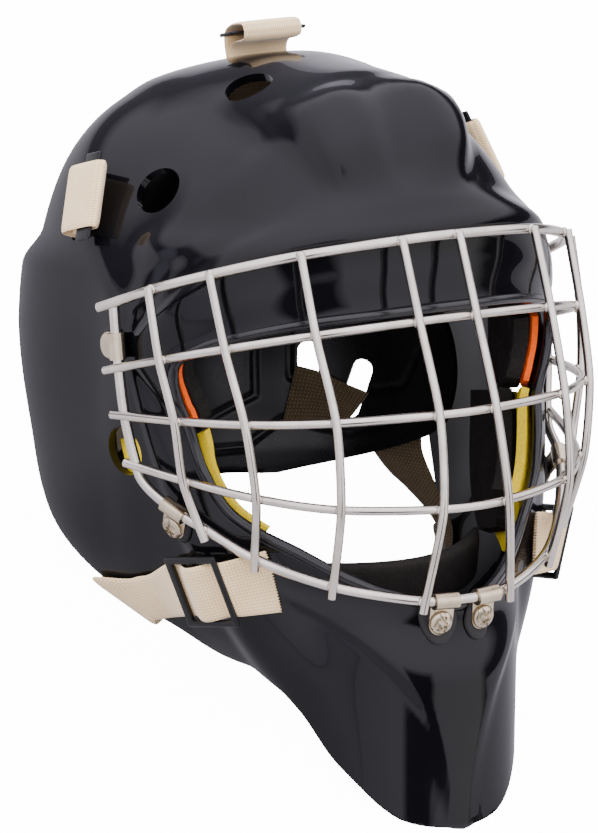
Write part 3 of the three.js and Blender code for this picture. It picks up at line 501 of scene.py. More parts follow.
def moulded_relief(p, angle):
    """How far the crown lobes, brow ridge, chin shield and ear flare stand out."""
    side = np.abs(p[..., 0])
    q = side / lobe_edge_at(np.clip(angle, 46, 130))
    valley = 1 - smooth(angle, 65, 83)
    crest = 1 + (smooth(q, 0, 0.5) - 1) * valley
    lobe = (9 * smooth(angle, 47, 60) - 7.5 * smooth(angle, 74, 100)) * crest
    lobe = lobe * (1 - smooth(q, 0.74, 1.02)) * (1 - smooth(np.abs(angle), 128, 150))
    brow_line = 76 - 8 * smooth(side, 40, 100)
    brow = 2.6 * np.exp(-((p[..., 2] - brow_line) / 7) ** 2) * (1 - smooth(p[..., 1], 105, 125))
    width = chin_shield_at(np.clip(p[..., 2], -200, -80))
    chin = 2.6 * (1 - smooth(side - width, -7, 2)) * (1 - smooth(p[..., 2], -92, -80))
    flare = 6.5 * (1 - smooth(p[..., 2], 46, 64)) * smooth(p[..., 1], 130, 195)
    flare = flare * smooth(p[..., 2], -110, -60)
    return lobe + brow + chin + flare


def on_shell(points):
    """Points of the outer surface, seen from the middle of the head room."""
    d = unit(np.asarray(points, float) - HEAD)
    angle = np.degrees(np.arctan2(d[..., 2], -d[..., 1]))
    n = roundness_at(angle)
    sideways = np.hypot(d[..., 0], CREST_BLEND) - CREST_BLEND
    sideways = sideways / (math.hypot(1, CREST_BLEND) - CREST_BLEND)
    upright = np.hypot(d[..., 1], d[..., 2]) / reach_at(angle)
    head = ((sideways / HALF_WIDTH) ** n + upright ** n) ** (-1 / n)
    offset = HEAD[1] - CHIN_AXIS
    level = np.maximum(d[..., 0] ** 2 + d[..., 1] ** 2, 0.01)
    root = np.sqrt(offset**2 * d[..., 1] ** 2 + level * (CHIN_RADIUS**2 - offset**2))
    column = (root - offset * d[..., 1]) / level * smooth(-d[..., 2], CHIN_STARTS, CHIN_WHOLE)
    outer = np.maximum(head, column)
    m = CHIN_SHARPNESS
    r = outer * ((head / outer) ** m + (column / outer) ** m) ** (1 / m)
    plain = HEAD + d * r[..., None]
    return plain + d * moulded_relief(plain, angle)[..., None]


def shell_normal(p):
    """Outward directions of the surface near points."""
    p = np.asarray(p, float)
    out = unit(p - HEAD)
    first = unit(np.cross(out, np.array([0.31, 0.2, 0.93])))
    second = np.cross(out, first)
    along = on_shell(p + 0.5 * first) - on_shell(p - 0.5 * first)
    across = on_shell(p + 0.5 * second) - on_shell(p - 0.5 * second)
    normal = unit(np.cross(along, across))
    return normal * np.sign(np.sum(normal * out, -1, keepdims=True))


# by spoke from the brow (0) round to the chin (16): a point of the face opening's edge, then one of
# the outer rim
SPOKES = [
    (0, 0, 34.5, 42.5, 0, 184, 130), (1, 26, 36, 42, 42, 184, 121), (2, 54, 44, 39.8, 73, 186, 104),
    (3, 78, 57, 35, 93, 190, 82), (4, 95, 72, 28.5, 101, 194, 60), (5, 102.5, 83, 19, 108, 201, 40),
    (6, 101, 84, 3, 111, 202, 10), (7, 96.5, 81, -14, 110, 194, -25), (8, 92, 75, -32, 107.5, 187, -57),
    (9, 85, 66.5, -48, 95, 160, -90), (10, 75, 56, -58.5, 79, 124, -111),
    (11, 62, 44.5, -66, 67, 102, -122.5), (12, 49, 34, -73.5, 64.2, 65.2, -127),
    (13, 37, 25, -79, 56.9, 51.1, -138), (14, 25, 17, -82, 51, 37.4, -154.4),
    (15, 13, 12, -84, 38, 18.5, -176), (16, 0, 10, -85, 0, 2.5, -193),
]
CHIN_SPOKE = 16
ALL_ROUND = 2 * CHIN_SPOKE


def mirrored_row(row, place):
    return (place, -row[1], row[2], row[3], -row[4], row[5], row[6])


ALL_SPOKES = ([mirrored_row(SPOKES[k], -k) for k in (3, 2, 1)] + SPOKES
              + [mirrored_row(SPOKES[k], ALL_ROUND - k) for k in (15, 14, 13)])
spoke_curves = [table_curve(ALL_SPOKES, column) for column in range(1, 7)]


def shell_point(around, across):
    """Outer surface by spoke (negative on the wearer's right, past 16 round the chin) and by the
    way from face edge to rim."""
    around = np.asarray(around, float)
    side = np.where((around < 0) | (around > CHIN_SPOKE), -1.0, 1.0)
    at = np.where(around > CHIN_SPOKE, ALL_ROUND - around, np.abs(around))
    fx, fy, fz, rx, ry, rz = (curve(at) for curve in spoke_curves)
    start_way = unit(np.stack([fx * side, fy, fz], -1) - HEAD)
    end_way = unit(np.stack([rx * side, ry, rz], -1) - HEAD)
    turn = np.arccos(np.clip(np.sum(start_way * end_way, -1), -1, 1))[..., None]
    across = np.asarray(across, float)[..., None]
    way = start_way * np.sin((1 - across) * turn) + end_way * np.sin(across * turn)
    return on_shell(HEAD + way)


# ---------------------------------------------------------------- shell
def rounded_wall(grid, thickness, corner):
    """A closed wall under a ring of grid rows, with both of its edges rounded."""
    steps = 5
    normals = grid_normals(grid, wrap=True)
    middle = np.mean(grid, (0, 1))
    if np.sum(normals * (grid - middle)) < 0:
        normals = -normals
    turns = [k / steps * math.pi / 2 for k in range(steps + 1)]
    quarter = [(corner * (1 - math.cos(turn)), -corner * (1 - math.sin(turn))) for turn in turns]
    around_edge = quarter + [(thickness - d, s) for d, s in quarter[::-1]]

    def edge(line, inner, normal):
        outwards = unit(line - inner)
        return [line + outwards * s - normal * d for d, s in around_edge]
    first = edge(grid[:, 0], grid[:, 1], normals[:, 0])
    last = edge(grid[:, -1], grid[:, -2], normals[:, -1])
    far = grid.shape[1] - 2
    outside = [grid[:, j] for j in range(1, far + 1)]
    inside = [grid[:, j] - normals[:, j] * thickness for j in range(far, 0, -1)]
    ring = np.stack(outside + last + inside + first[::-1], 1)
    return ring, grid_faces(*ring.shape[:2], closed=True)


def flattened(points):
    """Nothing reaches under the floor: the chin's lip is a flat foot."""
    placed = stand(points)
    placed[..., 2] = np.maximum(placed[..., 2], 0)
    return placed


TOP_LOOP = dict(slot=(0, 173, 136), up=(1, 0, 0), reach=17, low=6, high=14)
UPPER_LOOP = dict(slot=(105.5, 164, 81), up=(-0.42, 0.28, 0.87), reach=25, low=2.2, high=6.9)
ELASTIC_WIDTH, ELASTIC = 31.0, 1.8
SLOT_WIDTH = 6.6
VENT_RADIUS = 11.4
BEAD_RADIUS = 2.5
VENTS = [(37.8, 122, 135), (86.4, 122, 91), (109.5, 115.6, -26.7)]


def strap_frame(loop, side):
    """Middle of a strap's slot, with the directions out, across the strap and back to the rim."""
    x, y, z = loop["slot"]
    middle = on_shell(np.array([x * side, y, z]))
    out = shell_normal(middle)
    across = np.array([loop["up"][0] * side, loop["up"][1], loop["up"][2]])
    across = unit(across - out * (across @ out))
    back = np.cross(out, across)
    return middle, out, across, back if back[1] > 0 else -back


def axes_round(direction):
    """Three directions, the last along the given one."""
    z = unit(direction)
    x = unit(np.cross(z, [0.3, 0.5, 0.81]))
    return x, np.cross(z, x), z


def make_shell():
    around = np.linspace(0, ALL_ROUND, 336, endpoint=False)
    across = np.linspace(0, 1, 88)
    grid = shell_point(*np.broadcast_arrays(around[:, None], across[None, :]))
    ring, faces = rounded_wall(grid, WALL, 1.1)
    shell = mesh_object("moulded_shell", flattened(ring), faces)
    tools = []
    for x, y, z in VENTS:
        for side in (-1, 1):
            middle = on_shell(np.array([x * side, y, z]))
            tool = drum(VENT_RADIUS, 40, 72)
            tools.append(settle(tool, standing_matrix(middle, *axes_round(shell_normal(middle)))))
    for loop, side in ((TOP_LOOP, 1), (UPPER_LOOP, -1), (UPPER_LOOP, 1)):
        middle, out, across_strap, back = strap_frame(loop, side)
        x_way = across_strap if np.cross(across_strap, back) @ out > 0 else -across_strap
        tool = soften(block(ELASTIC_WIDTH + 3, SLOT_WIDTH, 30), 2.4, 5, 80)
        tools.append(settle(tool, standing_matrix(middle, x_way, back, out)))
    combine(shell, tools, solver="MANIFOLD")
    return piece(shade(shell, 32), LACQUER, "shell", "shell")


make_shell()


def make_face_bead():
    stations = 300
    around = np.linspace(0, ALL_ROUND, stations, endpoint=False)
    edge, inner = shell_point(around, np.zeros(stations)), shell_point(around, np.full(stations, 0.02))
    out = shell_normal(edge)
    inwards = unit(edge - inner)
    inwards = unit(inwards - out * np.sum(inwards * out, -1, keepdims=True))
    path = edge + inwards * 1.5 - out * WALL / 2
    bead = bent_rod("face_opening_bead", path, BEAD_RADIUS, closed=True)
    return piece(bead, BEAD, "trim", "face_trim")


make_face_bead()

# ---------------------------------------------------------------- cage
FRAME_ROD, CROSS_ROD = 2.4, 2.05
# centre y, z, tilt, then half spacing and set-back of the four uprights and of the bar's own end
CROSS_BARS = [
    (32, 74.1, 21.3, [(15, 0), (61.3, 10.3), (94, 33.5), (111, 57), (119.2, 92)]),
    (18, 39.6, 15.8, [(15.1, 0), (61.7, 11.3), (93.3, 34.9), (110.6, 61.3), (119, 99)]),
    (1.6, 0, 3.7, [(15, 0.3), (60.1, 13.2), (90.3, 38.3), (106.8, 69), (118.2, 107.5)]),
    (-5.4, -41.3, -6.7, [(17.4, 0.5), (60.1, 16.4), (86, 43.3), (102.5, 76), (114.5, 109.9)]),
]
FRAME_PATH = np.array([
    (115.8, 110.6, 42), (115.8, 107, 18), (114.8, 103.5, -6), (112, 99.5, -26), (110, 95, -36.5),
    (105.6, 80, -45.4), (96.4, 65, -54), (81.5, 46, -66), (57.5, 21.5, -76.5), (24, 2.4, -83.5),
    (0, -0.6, -84.8)], float)
FLIP = np.array([-1, 1, 1])
frame_line = through(np.concatenate([FRAME_PATH * FLIP, FRAME_PATH[:-1][::-1]]), 601)


def bar_points(bar):
    y, z, tilt, places = bar
    turn = math.radians(tilt)
    return np.array([(x, y + d * math.cos(turn), z - d * math.sin(turn)) for x, d in places])


def weld(point, lean, radius):
    """The little fillet of melted metal where two rods cross."""
    bpy.ops.mesh.primitive_uv_sphere_add(segments=12, ring_count=8, radius=1)
    obj = bpy.context.object
    x, y, z = axes_round(lean)
    size = Matrix.Diagonal([radius * 1.25 * MM, radius * 1.25 * MM, radius * 0.8 * MM, 1])
    settle(obj, standing_matrix(point, x, y, z) @ size)
    return obj


def make_cage():
    rods = []
    crossings = [bar_points(bar) for bar in CROSS_BARS]
    for number, half in enumerate(crossings):
        whole = np.concatenate([half[::-1] * FLIP, half])
        rods.append(bent_rod("bar", through(whole, 120), FRAME_ROD if number == 0 else CROSS_ROD))
    rods.append(bent_rod("bar", frame_line[::3], FRAME_ROD))
    feet = [(22.6, 1.8, -83.8), (57.5, 21.5, -76.5), (81.5, 46, -66), (96.4, 65, -54)]
    outwards = unit(np.array([(0.05, -1, 0), (0.35, -0.93, 0), (0.7, -0.7, 0), (0.9, -0.42, 0)]))
    for k in range(4):
        lift = outwards[k] * (FRAME_ROD + CROSS_ROD - 1)
        knots = np.array([half[k] for half in crossings] + [feet[k]]) + lift
        top = knots[0] + unit(knots[0] - knots[1]) * 1.5
        foot = knots[4] + unit(knots[4] - knots[3]) * 5
        line = np.concatenate([[top], through(np.concatenate([knots[:4], [foot]]), 60, 0.35)])
        for flip in (np.ones(3), FLIP):
            rods.append(bent_rod("bar", line * flip, CROSS_ROD))
            for knot in knots:
                rods.append(weld((knot - lift * 0.5) * flip, outwards[k] * flip, 2.1))
    cage = join("welded_wire_cage", rods)
    return piece(shade(cage, 45), WIRE, "steel", "cage")


make_cage()

# ---------------------------------------------------------------- clamps, washers and screws
CLAMPS = {"upper": (111.8, 120, 22.5), "lower": (98.9, 86, -56), "chin": (11.2, 4, -97.2)}
CLAMP_WIDTH, STRIP, BORE = 12.0, 1.3, FRAME_ROD + 0.1
TAB_LIFT = 2.05


def clamp_frame(screw, side):
    """A clamp's place on the rod and on the shell, with z along the rod and y out of the shell."""
    foot = on_shell(np.array([screw[0] * side, screw[1], screw[2]]))
    nearest = int(np.argmin(np.linalg.norm(frame_line - foot, axis=1)))
    nearest = min(max(nearest, 1), len(frame_line) - 2)
    z = unit(frame_line[nearest + 1] - frame_line[nearest - 1])
    axis = shell_normal(foot)
    axis = unit(axis - z * (axis @ z))
    x = np.cross(axis, z)
    rod_point = frame_line[nearest]
    if x @ (foot - rod_point) < 0:
        x, z = -x, -z
    return rod_point, foot, x, axis, z


def make_clamp(name, rod_point, foot, x, axis, z):
    ring = rod_point - foot
    rx, ry = float(ring @ x), float(ring @ axis)
    middle = TAB_LIFT + STRIP / 2
    sleeve = drum(BORE + STRIP, CLAMP_WIDTH, 56, (rx, ry, 0))
    tab = block(1, 1, 1)
    low = min(rx, 0.0)
    settle(tab, Matrix.Translation([low / 2 * MM, middle * MM, 0])
           @ Matrix.Diagonal([max(-low, 1), STRIP, CLAMP_WIDTH, 1]))
    tip = drum(CLAMP_WIDTH / 2, STRIP, 56)
    settle(tip, Matrix.Translation([0, middle * MM, 0]) @ Matrix.Rotation(math.pi / 2, 4, "X"))
    clamp = combine(sleeve, [tab, tip], "UNION")
    combine(clamp, [drum(BORE, CLAMP_WIDTH * 2, 56, (rx, ry, 0))])
    soften(clamp, 0.3, 2, 50)
    settle(clamp, standing_matrix(foot, x, axis, z))
    clamp.name = "strip_clamp_" + name
    return piece(shade(clamp), CLIP, "clamp", "clamp_" + name)


# how much each ring of the domed head shrinks and rises, and the recess: length, width and turn
SCREW_DOME = [(0.975, 0.25), (0.93, 0.35), (0.86, 0.4), (0.74, 0.35), (0.5, 0.28), (0.25, 0.12)]
SCREW_CUTS = [(5.6, 1.3, 65), (5.6, 1.3, -25), (8.6, 1.05, 20)]


def make_screw(name, foot, x, axis, z):
    """A domed head, drawn out ring by ring, with a cross and a long slot cut in it."""
    head = drum(5.5, 0.9, 56, (0, 0, 0.45))
    only(head)
    for polygon in head.data.polygons:
        polygon.select = polygon.normal.z > 0.9
    bpy.ops.object.mode_set(mode="EDIT")
    bpy.ops.mesh.select_mode(type="FACE")
    for shrink, rise in SCREW_DOME:
        bpy.ops.mesh.extrude_region_move(TRANSFORM_OT_translate={"value": (0, 0, rise * MM)})
        bpy.ops.transform.resize(value=(shrink, shrink, 1), center_override=(0, 0, 0))
    bpy.ops.object.mode_set(mode="OBJECT")
    cuts = []
    for length, width, turn in SCREW_CUTS:
        place = Matrix.Translation([0, 0, 2.75 * MM]) @ Matrix.Rotation(math.radians(turn), 4, "Z")
        cuts.append(settle(block(length, width, 2.6), place))
    combine(head, cuts)
    soften(head, 0.12, 2, 30)
    shaft = drum(2.3, TAB_LIFT + STRIP + WALL, 24, (0, 0, -(TAB_LIFT + STRIP + WALL) / 2))
    screw = join("domed_screw_" + name, [head, shaft])
    settle(screw, standing_matrix(foot + axis * (TAB_LIFT + STRIP + 0.05), x, -z, axis))
    return piece(shade(screw, 35), CLIP, "clamp", "screw_" + name)


def make_washer(name, foot, x, z, seed):
    """A soft ring pressed against the shell, its rim squeezed out unevenly."""
    around = 72
    turns = np.linspace(0, 2 * math.pi, around, endpoint=False)
    wobble = sum(np.sin(k * turns + seed * k) / k for k in (3, 5, 8, 13, 21))
    profile = [(2.7, 0.15), (5, 0.15), (8.2, 0.15), (8.9, 0.45), (8.7, 1.2), (8.2, 1.75), (6.5, 1.95),
               (2.7, 1.95)]
    rows = []
    for radius, height in profile:
        spread = radius + (0.28 * wobble if radius > 6 else 0)
        way = np.cos(turns)[:, None] * x + np.sin(turns)[:, None] * z
        flat = foot + way * np.broadcast_to(spread, around)[:, None]
        under = on_shell(flat)
        rows.append(under + shell_normal(under) * (height + 0.12 * wobble[:, None] * (radius > 8)))
    ring = np.stack(rows, 1)
    faces = grid_faces(around, len(profile), closed=True)
    washer = mesh_object("pressed_washer_" + name, stand(ring), faces)
    return piece(shade(washer, 70), RUBBER, "rubber", "washer_" + name)


for number, (where, screw) in enumerate(CLAMPS.items()):
    for side, label in SIDES:
        rod_point, foot, x, axis, z = clamp_frame(screw, side)
        make_clamp(f"{where}_{label}", rod_point, foot, x, axis, z)
        make_screw(f"{where}_{label}", foot, x, axis, z)
        make_washer(f"{where}_{label}", foot, x, z, 1.3 + number + side)

# ---------------------------------------------------------------- straps
def strap(name, rows, material, slot, node, columns=28, tension=0.5, notched=False, tight=None,
          shade_painted_from=None):
    """A woven strap through rows of three points each (one selvage, middle, other selvage). A notched one
    starts with an end cut in teeth, the weave is pulled out long between the two tight rows, and from the
    row given by the last argument on, the cream elastic is painted olive-brown: painted shade where the
    strap runs inside the mask."""
    steps = 7
    rows = np.asarray(rows, float)
    lines = through(rows.reshape(len(rows), 9), (len(rows) - 1) * steps + 1, tension).reshape(-1, 3, 3)
    s = np.linspace(-1, 1, columns + 1)
    weights = np.stack([s * (s - 1) / 2, 1 - s * s, s * (s + 1) / 2], -1)
    middle = np.einsum("cw,rwk->rck", weights, lines)
    if notched:
        step = unit(middle[0, columns // 2] - middle[1, columns // 2])
        teeth = np.abs(((np.arange(columns + 1) / 2.0) % 1) - 0.5) * 2
        middle[0] += step * (teeth[:, None] * 0.9 - 0.4)
    normals = grid_normals(middle)
    half = ELASTIC / 2 * np.maximum(1 - np.abs(s) ** 10, 0) ** 0.5
    half = np.maximum(half, 0.12)[None, :, None]
    top, bottom = middle + normals * half, middle - normals * half
    count = columns + 1
    total = len(middle) * count
    faces = grid_faces(len(middle), count)
    faces += [f[::-1] for f in grid_faces(len(middle), count, first=total)]
    for a in range(0, total - count, count):
        b = a + count
        faces.append((a, total + a, total + b, b))
        faces.append((a + columns, b + columns, total + b + columns, total + a + columns))
    for j in range(columns):
        faces.append((j, j + 1, total + j + 1, total + j))
        k = total - count + j
        faces.append((k + 1, k, total + k, total + k + 1))
    lengths = np.linalg.norm(np.diff(middle[:, columns // 2], axis=0), axis=1)
    if tight is not None:
        row_at = np.arange(len(lengths)) / steps
        pulled = (row_at >= tight[0]) & (row_at <= tight[1])
        lengths = np.where(pulled, lengths * 0.55, lengths)
    along = np.concatenate([[0], np.cumsum(lengths)])
    width = np.linalg.norm(middle[len(middle) // 2, 0] - middle[len(middle) // 2, -1])
    uv = np.stack(np.broadcast_arrays(along[:, None], (s * width / 2)[None, :]), -1)
    both = stand(np.concatenate([top.reshape(-1, 3), bottom.reshape(-1, 3)]))
    made = mesh_object(name, both, faces, np.concatenate([uv.reshape(-1, 2)] * 2))
    piece(shade(made, 50), material, slot, node)
    # painted shade: from that row on, the faces take the olive-brown elastic, which is the cream elastic as
    # it looks in the shade inside the mask
    if shade_painted_from is not None:
        made.data.materials.append(SHADE_PAINTED_ELASTIC)
        row_of = np.array([min(polygon.vertices) % total // count for polygon in made.data.polygons])
        painted_shade_faces = (row_of >= shade_painted_from * steps).astype(np.int32)
        made.data.polygons.foreach_set("material_index", painted_shade_faces)


def three(middle, across, width):
    return [np.asarray(middle, float) + unit(across) * width * k for k in (-0.5, 0, 0.5)]


# the back plate: where its upright axis stands and how thick it is, then by height its radius and
# how many degrees it reaches to each side
PLATE_Y, PLATE = 132.0, 2.6
PLATE_ROWS = [(-70, 84, 24), (-65, 86.3, 41), (-58, 89, 58), (-49, 91, 72), (-40, 92, 78), (-14, 94, 80),
              (12, 93, 74), (36, 90, 56), (58, 84, 49), (74, 78, 45), (86, 71.5, 37)]
plate_radius, plate_reach = table_curve(PLATE_ROWS, 1), table_curve(PLATE_ROWS, 2)


def plate_point(z, degrees, away=0.0):
    """On the back plate's inner face, or `away` from it towards the head."""
    turn = np.radians(degrees)
    radius = plate_radius(np.asarray(z, float)) - away
    return np.stack(np.broadcast_arrays(radius * np.sin(turn), PLATE_Y + radius * np.cos(turn), z), -1)


def slot_loop(loop, side, ending):
    """Elastic out of its slot, forward round its bar, back in and on through `ending`."""
    middle, out, across, back = strap_frame(loop, side)
    reach, low, high = loop["reach"], loop["low"], loop["high"]
    profile = [(-1.5, -11), (-1.5, -1), (-2.8, low * 0.62), (-7, low), (4 - reach, low),
               (1 - reach, low + 1), (-reach, (low + high) / 2), (1 - reach, high - 1), (4 - reach, high),
               (-5, high), (0.2, high * 0.8), (1.7, high * 0.38), (1.5, -1), (1.5, -11)]
    rows = [three(middle + back * a + out * b, across, ELASTIC_WIDTH) for a, b in profile]
    return rows + [three(at, way, ELASTIC_WIDTH) for at, way in ending]


def loop_bar(loop, side, name, node):
    """The stiff keeper inside a loop: a flat moulded bar with rounded ends."""
    middle, out, across, back = strap_frame(loop, side)
    centre = middle + back * (3.6 + 5.5 - loop["reach"]) + out * (loop["low"] + loop["high"]) / 2
    bar = soften(block(41, 11, 1.8), 1.6, 4, 80)
    soften(bar, 0.4, 2, 40)
    settle(bar, standing_matrix(centre, across, back, np.cross(across, back)))
    bar.name = name
    return piece(shade(bar), NYLON, "plastic", node)


down_the_crown = [(0, 176, 112), (0, 188, 98), (0, 199, 84)] + [plate_point(z, 0, 4) for z in (68, 52, 38)]
# from row 13 on, where it runs inside the mask, the strap is painted olive-brown as painted shade
strap("top_elastic", slot_loop(TOP_LOOP, 1, [(at, (1, 0, 0)) for at in down_the_crown]),
      CREAM, "elastic", "top_strap", tight=(4, 9), shade_painted_from=13)
loop_bar(TOP_LOOP, 1, "top_keeper_bar", "top_strap_bar")
for side, label in SIDES:
    across_loop = strap_frame(UPPER_LOOP, side)[2]
    ending = [((93.5 * side, 166, 62), across_loop * 0.7 + UPRIGHT * 0.3),
              ((93 * side, 168, 42), across_loop * 0.3 + UPRIGHT * 0.7)]
    ending += [(plate_point(z, degrees * side, away), UPRIGHT)
               for z, degrees, away in ((20, 70, -6), (14, 62, -5), (10, 50, -5))]
    # from row 13 on, where they run inside the mask, these straps are painted olive-brown as painted shade
    strap("upper_elastic_" + label, slot_loop(UPPER_LOOP, side, ending),
          CREAM, "elastic", "upper_strap_" + label, tight=(4, 7), shade_painted_from=13)
    loop_bar(UPPER_LOOP, side, "upper_keeper_bar_" + label, "upper_strap_bar_" + label)

LOWER_ACROSS = np.array([0.28, 0.12, 0.95])
BUCKLE = dict(middle=(91.8, 71, -86.7), along=34, across=35, bar=4.2, thickness=2.6, lift=6.0, window=28.6)


def buckle_frame(side):
    x, y, z = BUCKLE["middle"]
    middle = on_shell(np.array([x * side, y, z]))
    out = shell_normal(middle)
    across = LOWER_ACROSS * [side, 1, 1]
    across = unit(across - out * (across @ out))
    along = np.cross(out, across)
    if along[1] < 0:
        along, across = -along, -across
    return middle, out, across, along


def lower_strap_rows(side):
    """From its cut end, through the buckle, back along the jaw, round the rim and in to the plate."""
    width = 27
    across = LOWER_ACROSS * [side, 1, 1]

    def on_jaw(x, y, z):
        middle = np.array([x * side, y, z])
        feet = on_shell(np.array([middle + across * width * k for k in (-0.5, 0, 0.5)]))
        return feet + shell_normal(feet) * 2.6
    middle, out, x_way, along = buckle_frame(side)
    turn = -1 if x_way @ across < 0 else 1
    under = BUCKLE["lift"] - ELASTIC / 2 - GAP
    over = BUCKLE["lift"] + BUCKLE["thickness"] + ELASTIC / 2 + GAP
    rows = [on_jaw(72.5, 48, -81.8)]
    for a, b in ((-18.5, under), (-12, under), (-3, over), (3, over), (12, under), (18.5, under)):
        rows.append(three(middle + along * a + out * b, x_way * turn, width))
    rows += [on_jaw(88, 114, -95.5), on_jaw(88, 122, -97), on_jaw(87, 131, -98)]
    spoke = 9.45
    rim = shell_point(spoke * side, 1.0)
    normal = shell_normal(rim)
    rim_way = unit(shell_point((spoke - 0.3) * side, 1.0) - shell_point((spoke + 0.3) * side, 1.0))
    back = unit(np.cross(normal, rim_way))
    if back @ (rim - shell_point(spoke * side, 0.9)) < 0:
        back = -back
    for a, b, w in ((-2, 2.6, 37), (2.4, 1.8, 37), (3.4, -2, 37), (2, -5.4, 36), (-3, -7, 34)):
        rows.append(three(rim + back * a + normal * b, rim_way, w))
    for at, lean, w in (((86 * side, 156, -84), (-0.15 * side, 0.85, 0.4), 31),
                        ((84.5 * side, 170, -72), (-0.35 * side, 0.9, 0.15), 28),
                        (plate_point(-58, 59.5 * side, -6), (-0.51 * side, 0.86, 0), 27),
                        (plate_point(-45, 59 * side, -6), (-0.515 * side, 0.857, 0), 27)):
        rows.append(three(at, np.array(lean, float), w))
    return rows


# the harness's inner band, fanned over the lower ends of the plate's slots and coloured all over with the
# olive-brown painted shade of the elastic inside the mask: height and degrees
BAND_FAN = [[(-46, 26), (-33, 28), (-20, 30)], [(-46, 32.5), (-34, 35), (-23, 37)],
            [(-46, 39), (-36, 42), (-28, 44.5)], [(-46, 45.5), (-39, 49), (-32, 52)]]


def make_buckle(side, label):
    """A moulded frame with two windows and a bar between them; the bar by the cut end is slimmer."""
    middle, out, x_way, along = buckle_frame(side)
    half, thickness = BUCKLE["along"] / 2, BUCKLE["thickness"]
    buckle = soften(block(BUCKLE["across"], BUCKLE["along"], thickness), 3.2, 6, 80)
    windows = []
    for near, far in ((-half + 2.4, -BUCKLE["bar"] / 2), (BUCKLE["bar"] / 2, half - BUCKLE["bar"])):
        window = block(BUCKLE["window"], far - near, 10)
        windows.append(settle(window, Matrix.Translation([0, (near + far) / 2 * MM, 0])))
    combine(buckle, windows)
    soften(buckle, 0.55, 3, 40)
    settle(buckle, standing_matrix(middle + out * (BUCKLE["lift"] + thickness / 2), x_way, along, out))
    buckle.name = "strap_buckle_" + label
    return piece(shade(buckle), NYLON, "plastic", "buckle_" + label)


for side, label in SIDES:
    # from row 13 on, where it runs inside the mask, the lower strap is painted olive-brown as painted shade
    strap("lower_elastic_" + label, lower_strap_rows(side), CREAM, "elastic", "lower_strap_" + label,
          tension=0.45, columns=45, notched=True, shade_painted_from=13)
    make_buckle(side, label)
    off_plate = 1.4 + GAP + ELASTIC / 2
    rows = [[plate_point(z, degrees * side, off_plate) for z, degrees in row] for row in BAND_FAN]
    # the inner band is olive-brown all over: painted shade on the cream elastic inside the mask
    strap("inner_band_" + label, rows, SHADE_PAINTED_ELASTIC, "band", "inner_band_" + label)

# ---------------------------------------------------------------- back plate
PLATE_GROOVES = [
    [(-62, -44), (-46, -52), (-26, -46), (-14, -58), (14, -58), (26, -46), (46, -52), (62, -44)],
    [(-70, 0), (-58, 22), (-42, 26), (-28, 8), (-28, -26), (-44, -34), (-62, -28), (-70, 0)],
    [(70, 0), (58, 22), (42, 26), (28, 8), (28, -26), (44, -34), (62, -28), (70, 0)],
    [(-18, -34), (-18, 22), (-8, 46), (8, 46), (18, 22), (18, -34), (0, -46), (-18, -34)],
]


# height, degrees round the plate, width, height and lean of each slot
PLATE_SLOTS = [(-24, 33.5, 10, 30, 0), (-24, -33.5, 10, 30, 0), (-31, 47.5, 10, 29, -18),
               (-31, -47.5, 10, 29, 18), (64, 0, 34, 5, 0)]
MM_PER_DEGREE = 1.6


def groove_depth(degrees, z):
    """Depth of the pressed lines, by their distance in mm on the unrolled plate."""
    x, y = degrees * MM_PER_DEGREE, z
    depth = np.zeros(np.broadcast(x, y).shape)
    for line in PLATE_GROOVES:
        for (a, b), (c, d) in zip(line[:-1], line[1:]):
            p, q = np.array([a * MM_PER_DEGREE, b]), np.array([c * MM_PER_DEGREE, d])
            run = q - p
            t = np.clip(((x - p[0]) * run[0] + (y - p[1]) * run[1]) / (run @ run), 0, 1)
            gap = np.hypot(x - p[0] - t * run[0], y - p[1] - t * run[1])
            depth = np.maximum(depth, 1.0 * (1 - smooth(gap, 0.6, 2.4)))
    return depth


def make_back_plate():
    rows, columns = 150, 240
    z = np.linspace(PLATE_ROWS[0][0], PLATE_ROWS[-1][0], rows)[:, None]
    degrees = plate_reach(z) * np.linspace(-1, 1, columns)[None, :]
    depth = groove_depth(degrees, z)
    heights = np.broadcast_to(z, degrees.shape)
    inner = plate_point(heights, degrees, -depth)
    outer = plate_point(heights, degrees, -PLATE - 0.5 * depth)
    both = flattened(np.concatenate([inner.reshape(-1, 3), outer.reshape(-1, 3)]))
    plate = mesh_object("harness_back_plate", both, sheet_faces(rows, columns))
    tools = []
    for z, degrees, width, height, tilt in PLATE_SLOTS:
        turn, lean = math.radians(degrees), math.radians(tilt)
        tool = soften(block(width, height, 20), min(width, height) * 0.48, 10, 80)
        way = np.array([math.sin(turn), math.cos(turn), 0])
        level = np.array([way[1], -way[0], 0])
        upright = UPRIGHT * math.cos(lean) - level * math.sin(lean)
        place = standing_matrix(plate_point(z, degrees), np.cross(upright, way), upright, way)
        tools.append(settle(tool, place))
    combine(plate, tools)
    return piece(shade(plate, 40), SHEET, "plate", "back_plate")


make_back_plate()

# ---------------------------------------------------------------- padding
def pad(name, grid, low, high, material, slot, node, inwards, round_edge=24, fill=0.7, edge=0.78):
    """A foam layer over a grid of points, from `low` to `high` mm along `inwards`, crowned and drawn
    in at its edges."""
    rows, columns = grid.shape[:2]
    s, t = np.linspace(-1, 1, rows)[:, None], np.linspace(-1, 1, columns)[None, :]
    crown = np.maximum((1 - np.abs(s) ** round_edge) * (1 - np.abs(t) ** round_edge), 0) ** 0.3
    middle, half = (low + high) / 2, (high - low) / 2
    near = grid + inwards * (middle - half * np.maximum(crown, edge))[..., None]
    far = grid + inwards * (middle + half * np.maximum(crown, edge) * (0.94 + 0.06 * crown))[..., None]
    both = stand(np.concatenate([near.reshape(-1, 3), far.reshape(-1, 3)]))
    made = mesh_object(name, both, sheet_faces(rows, columns))
    piece(shade(made, 60), material, slot, node)
    return made


FOAMS = {"orange": (ORANGE, "orange_foam"), "yellow": (YELLOW, "yellow_foam"), "foam": (GREY, "grey_foam")}
UNDER = WALL + 2.4


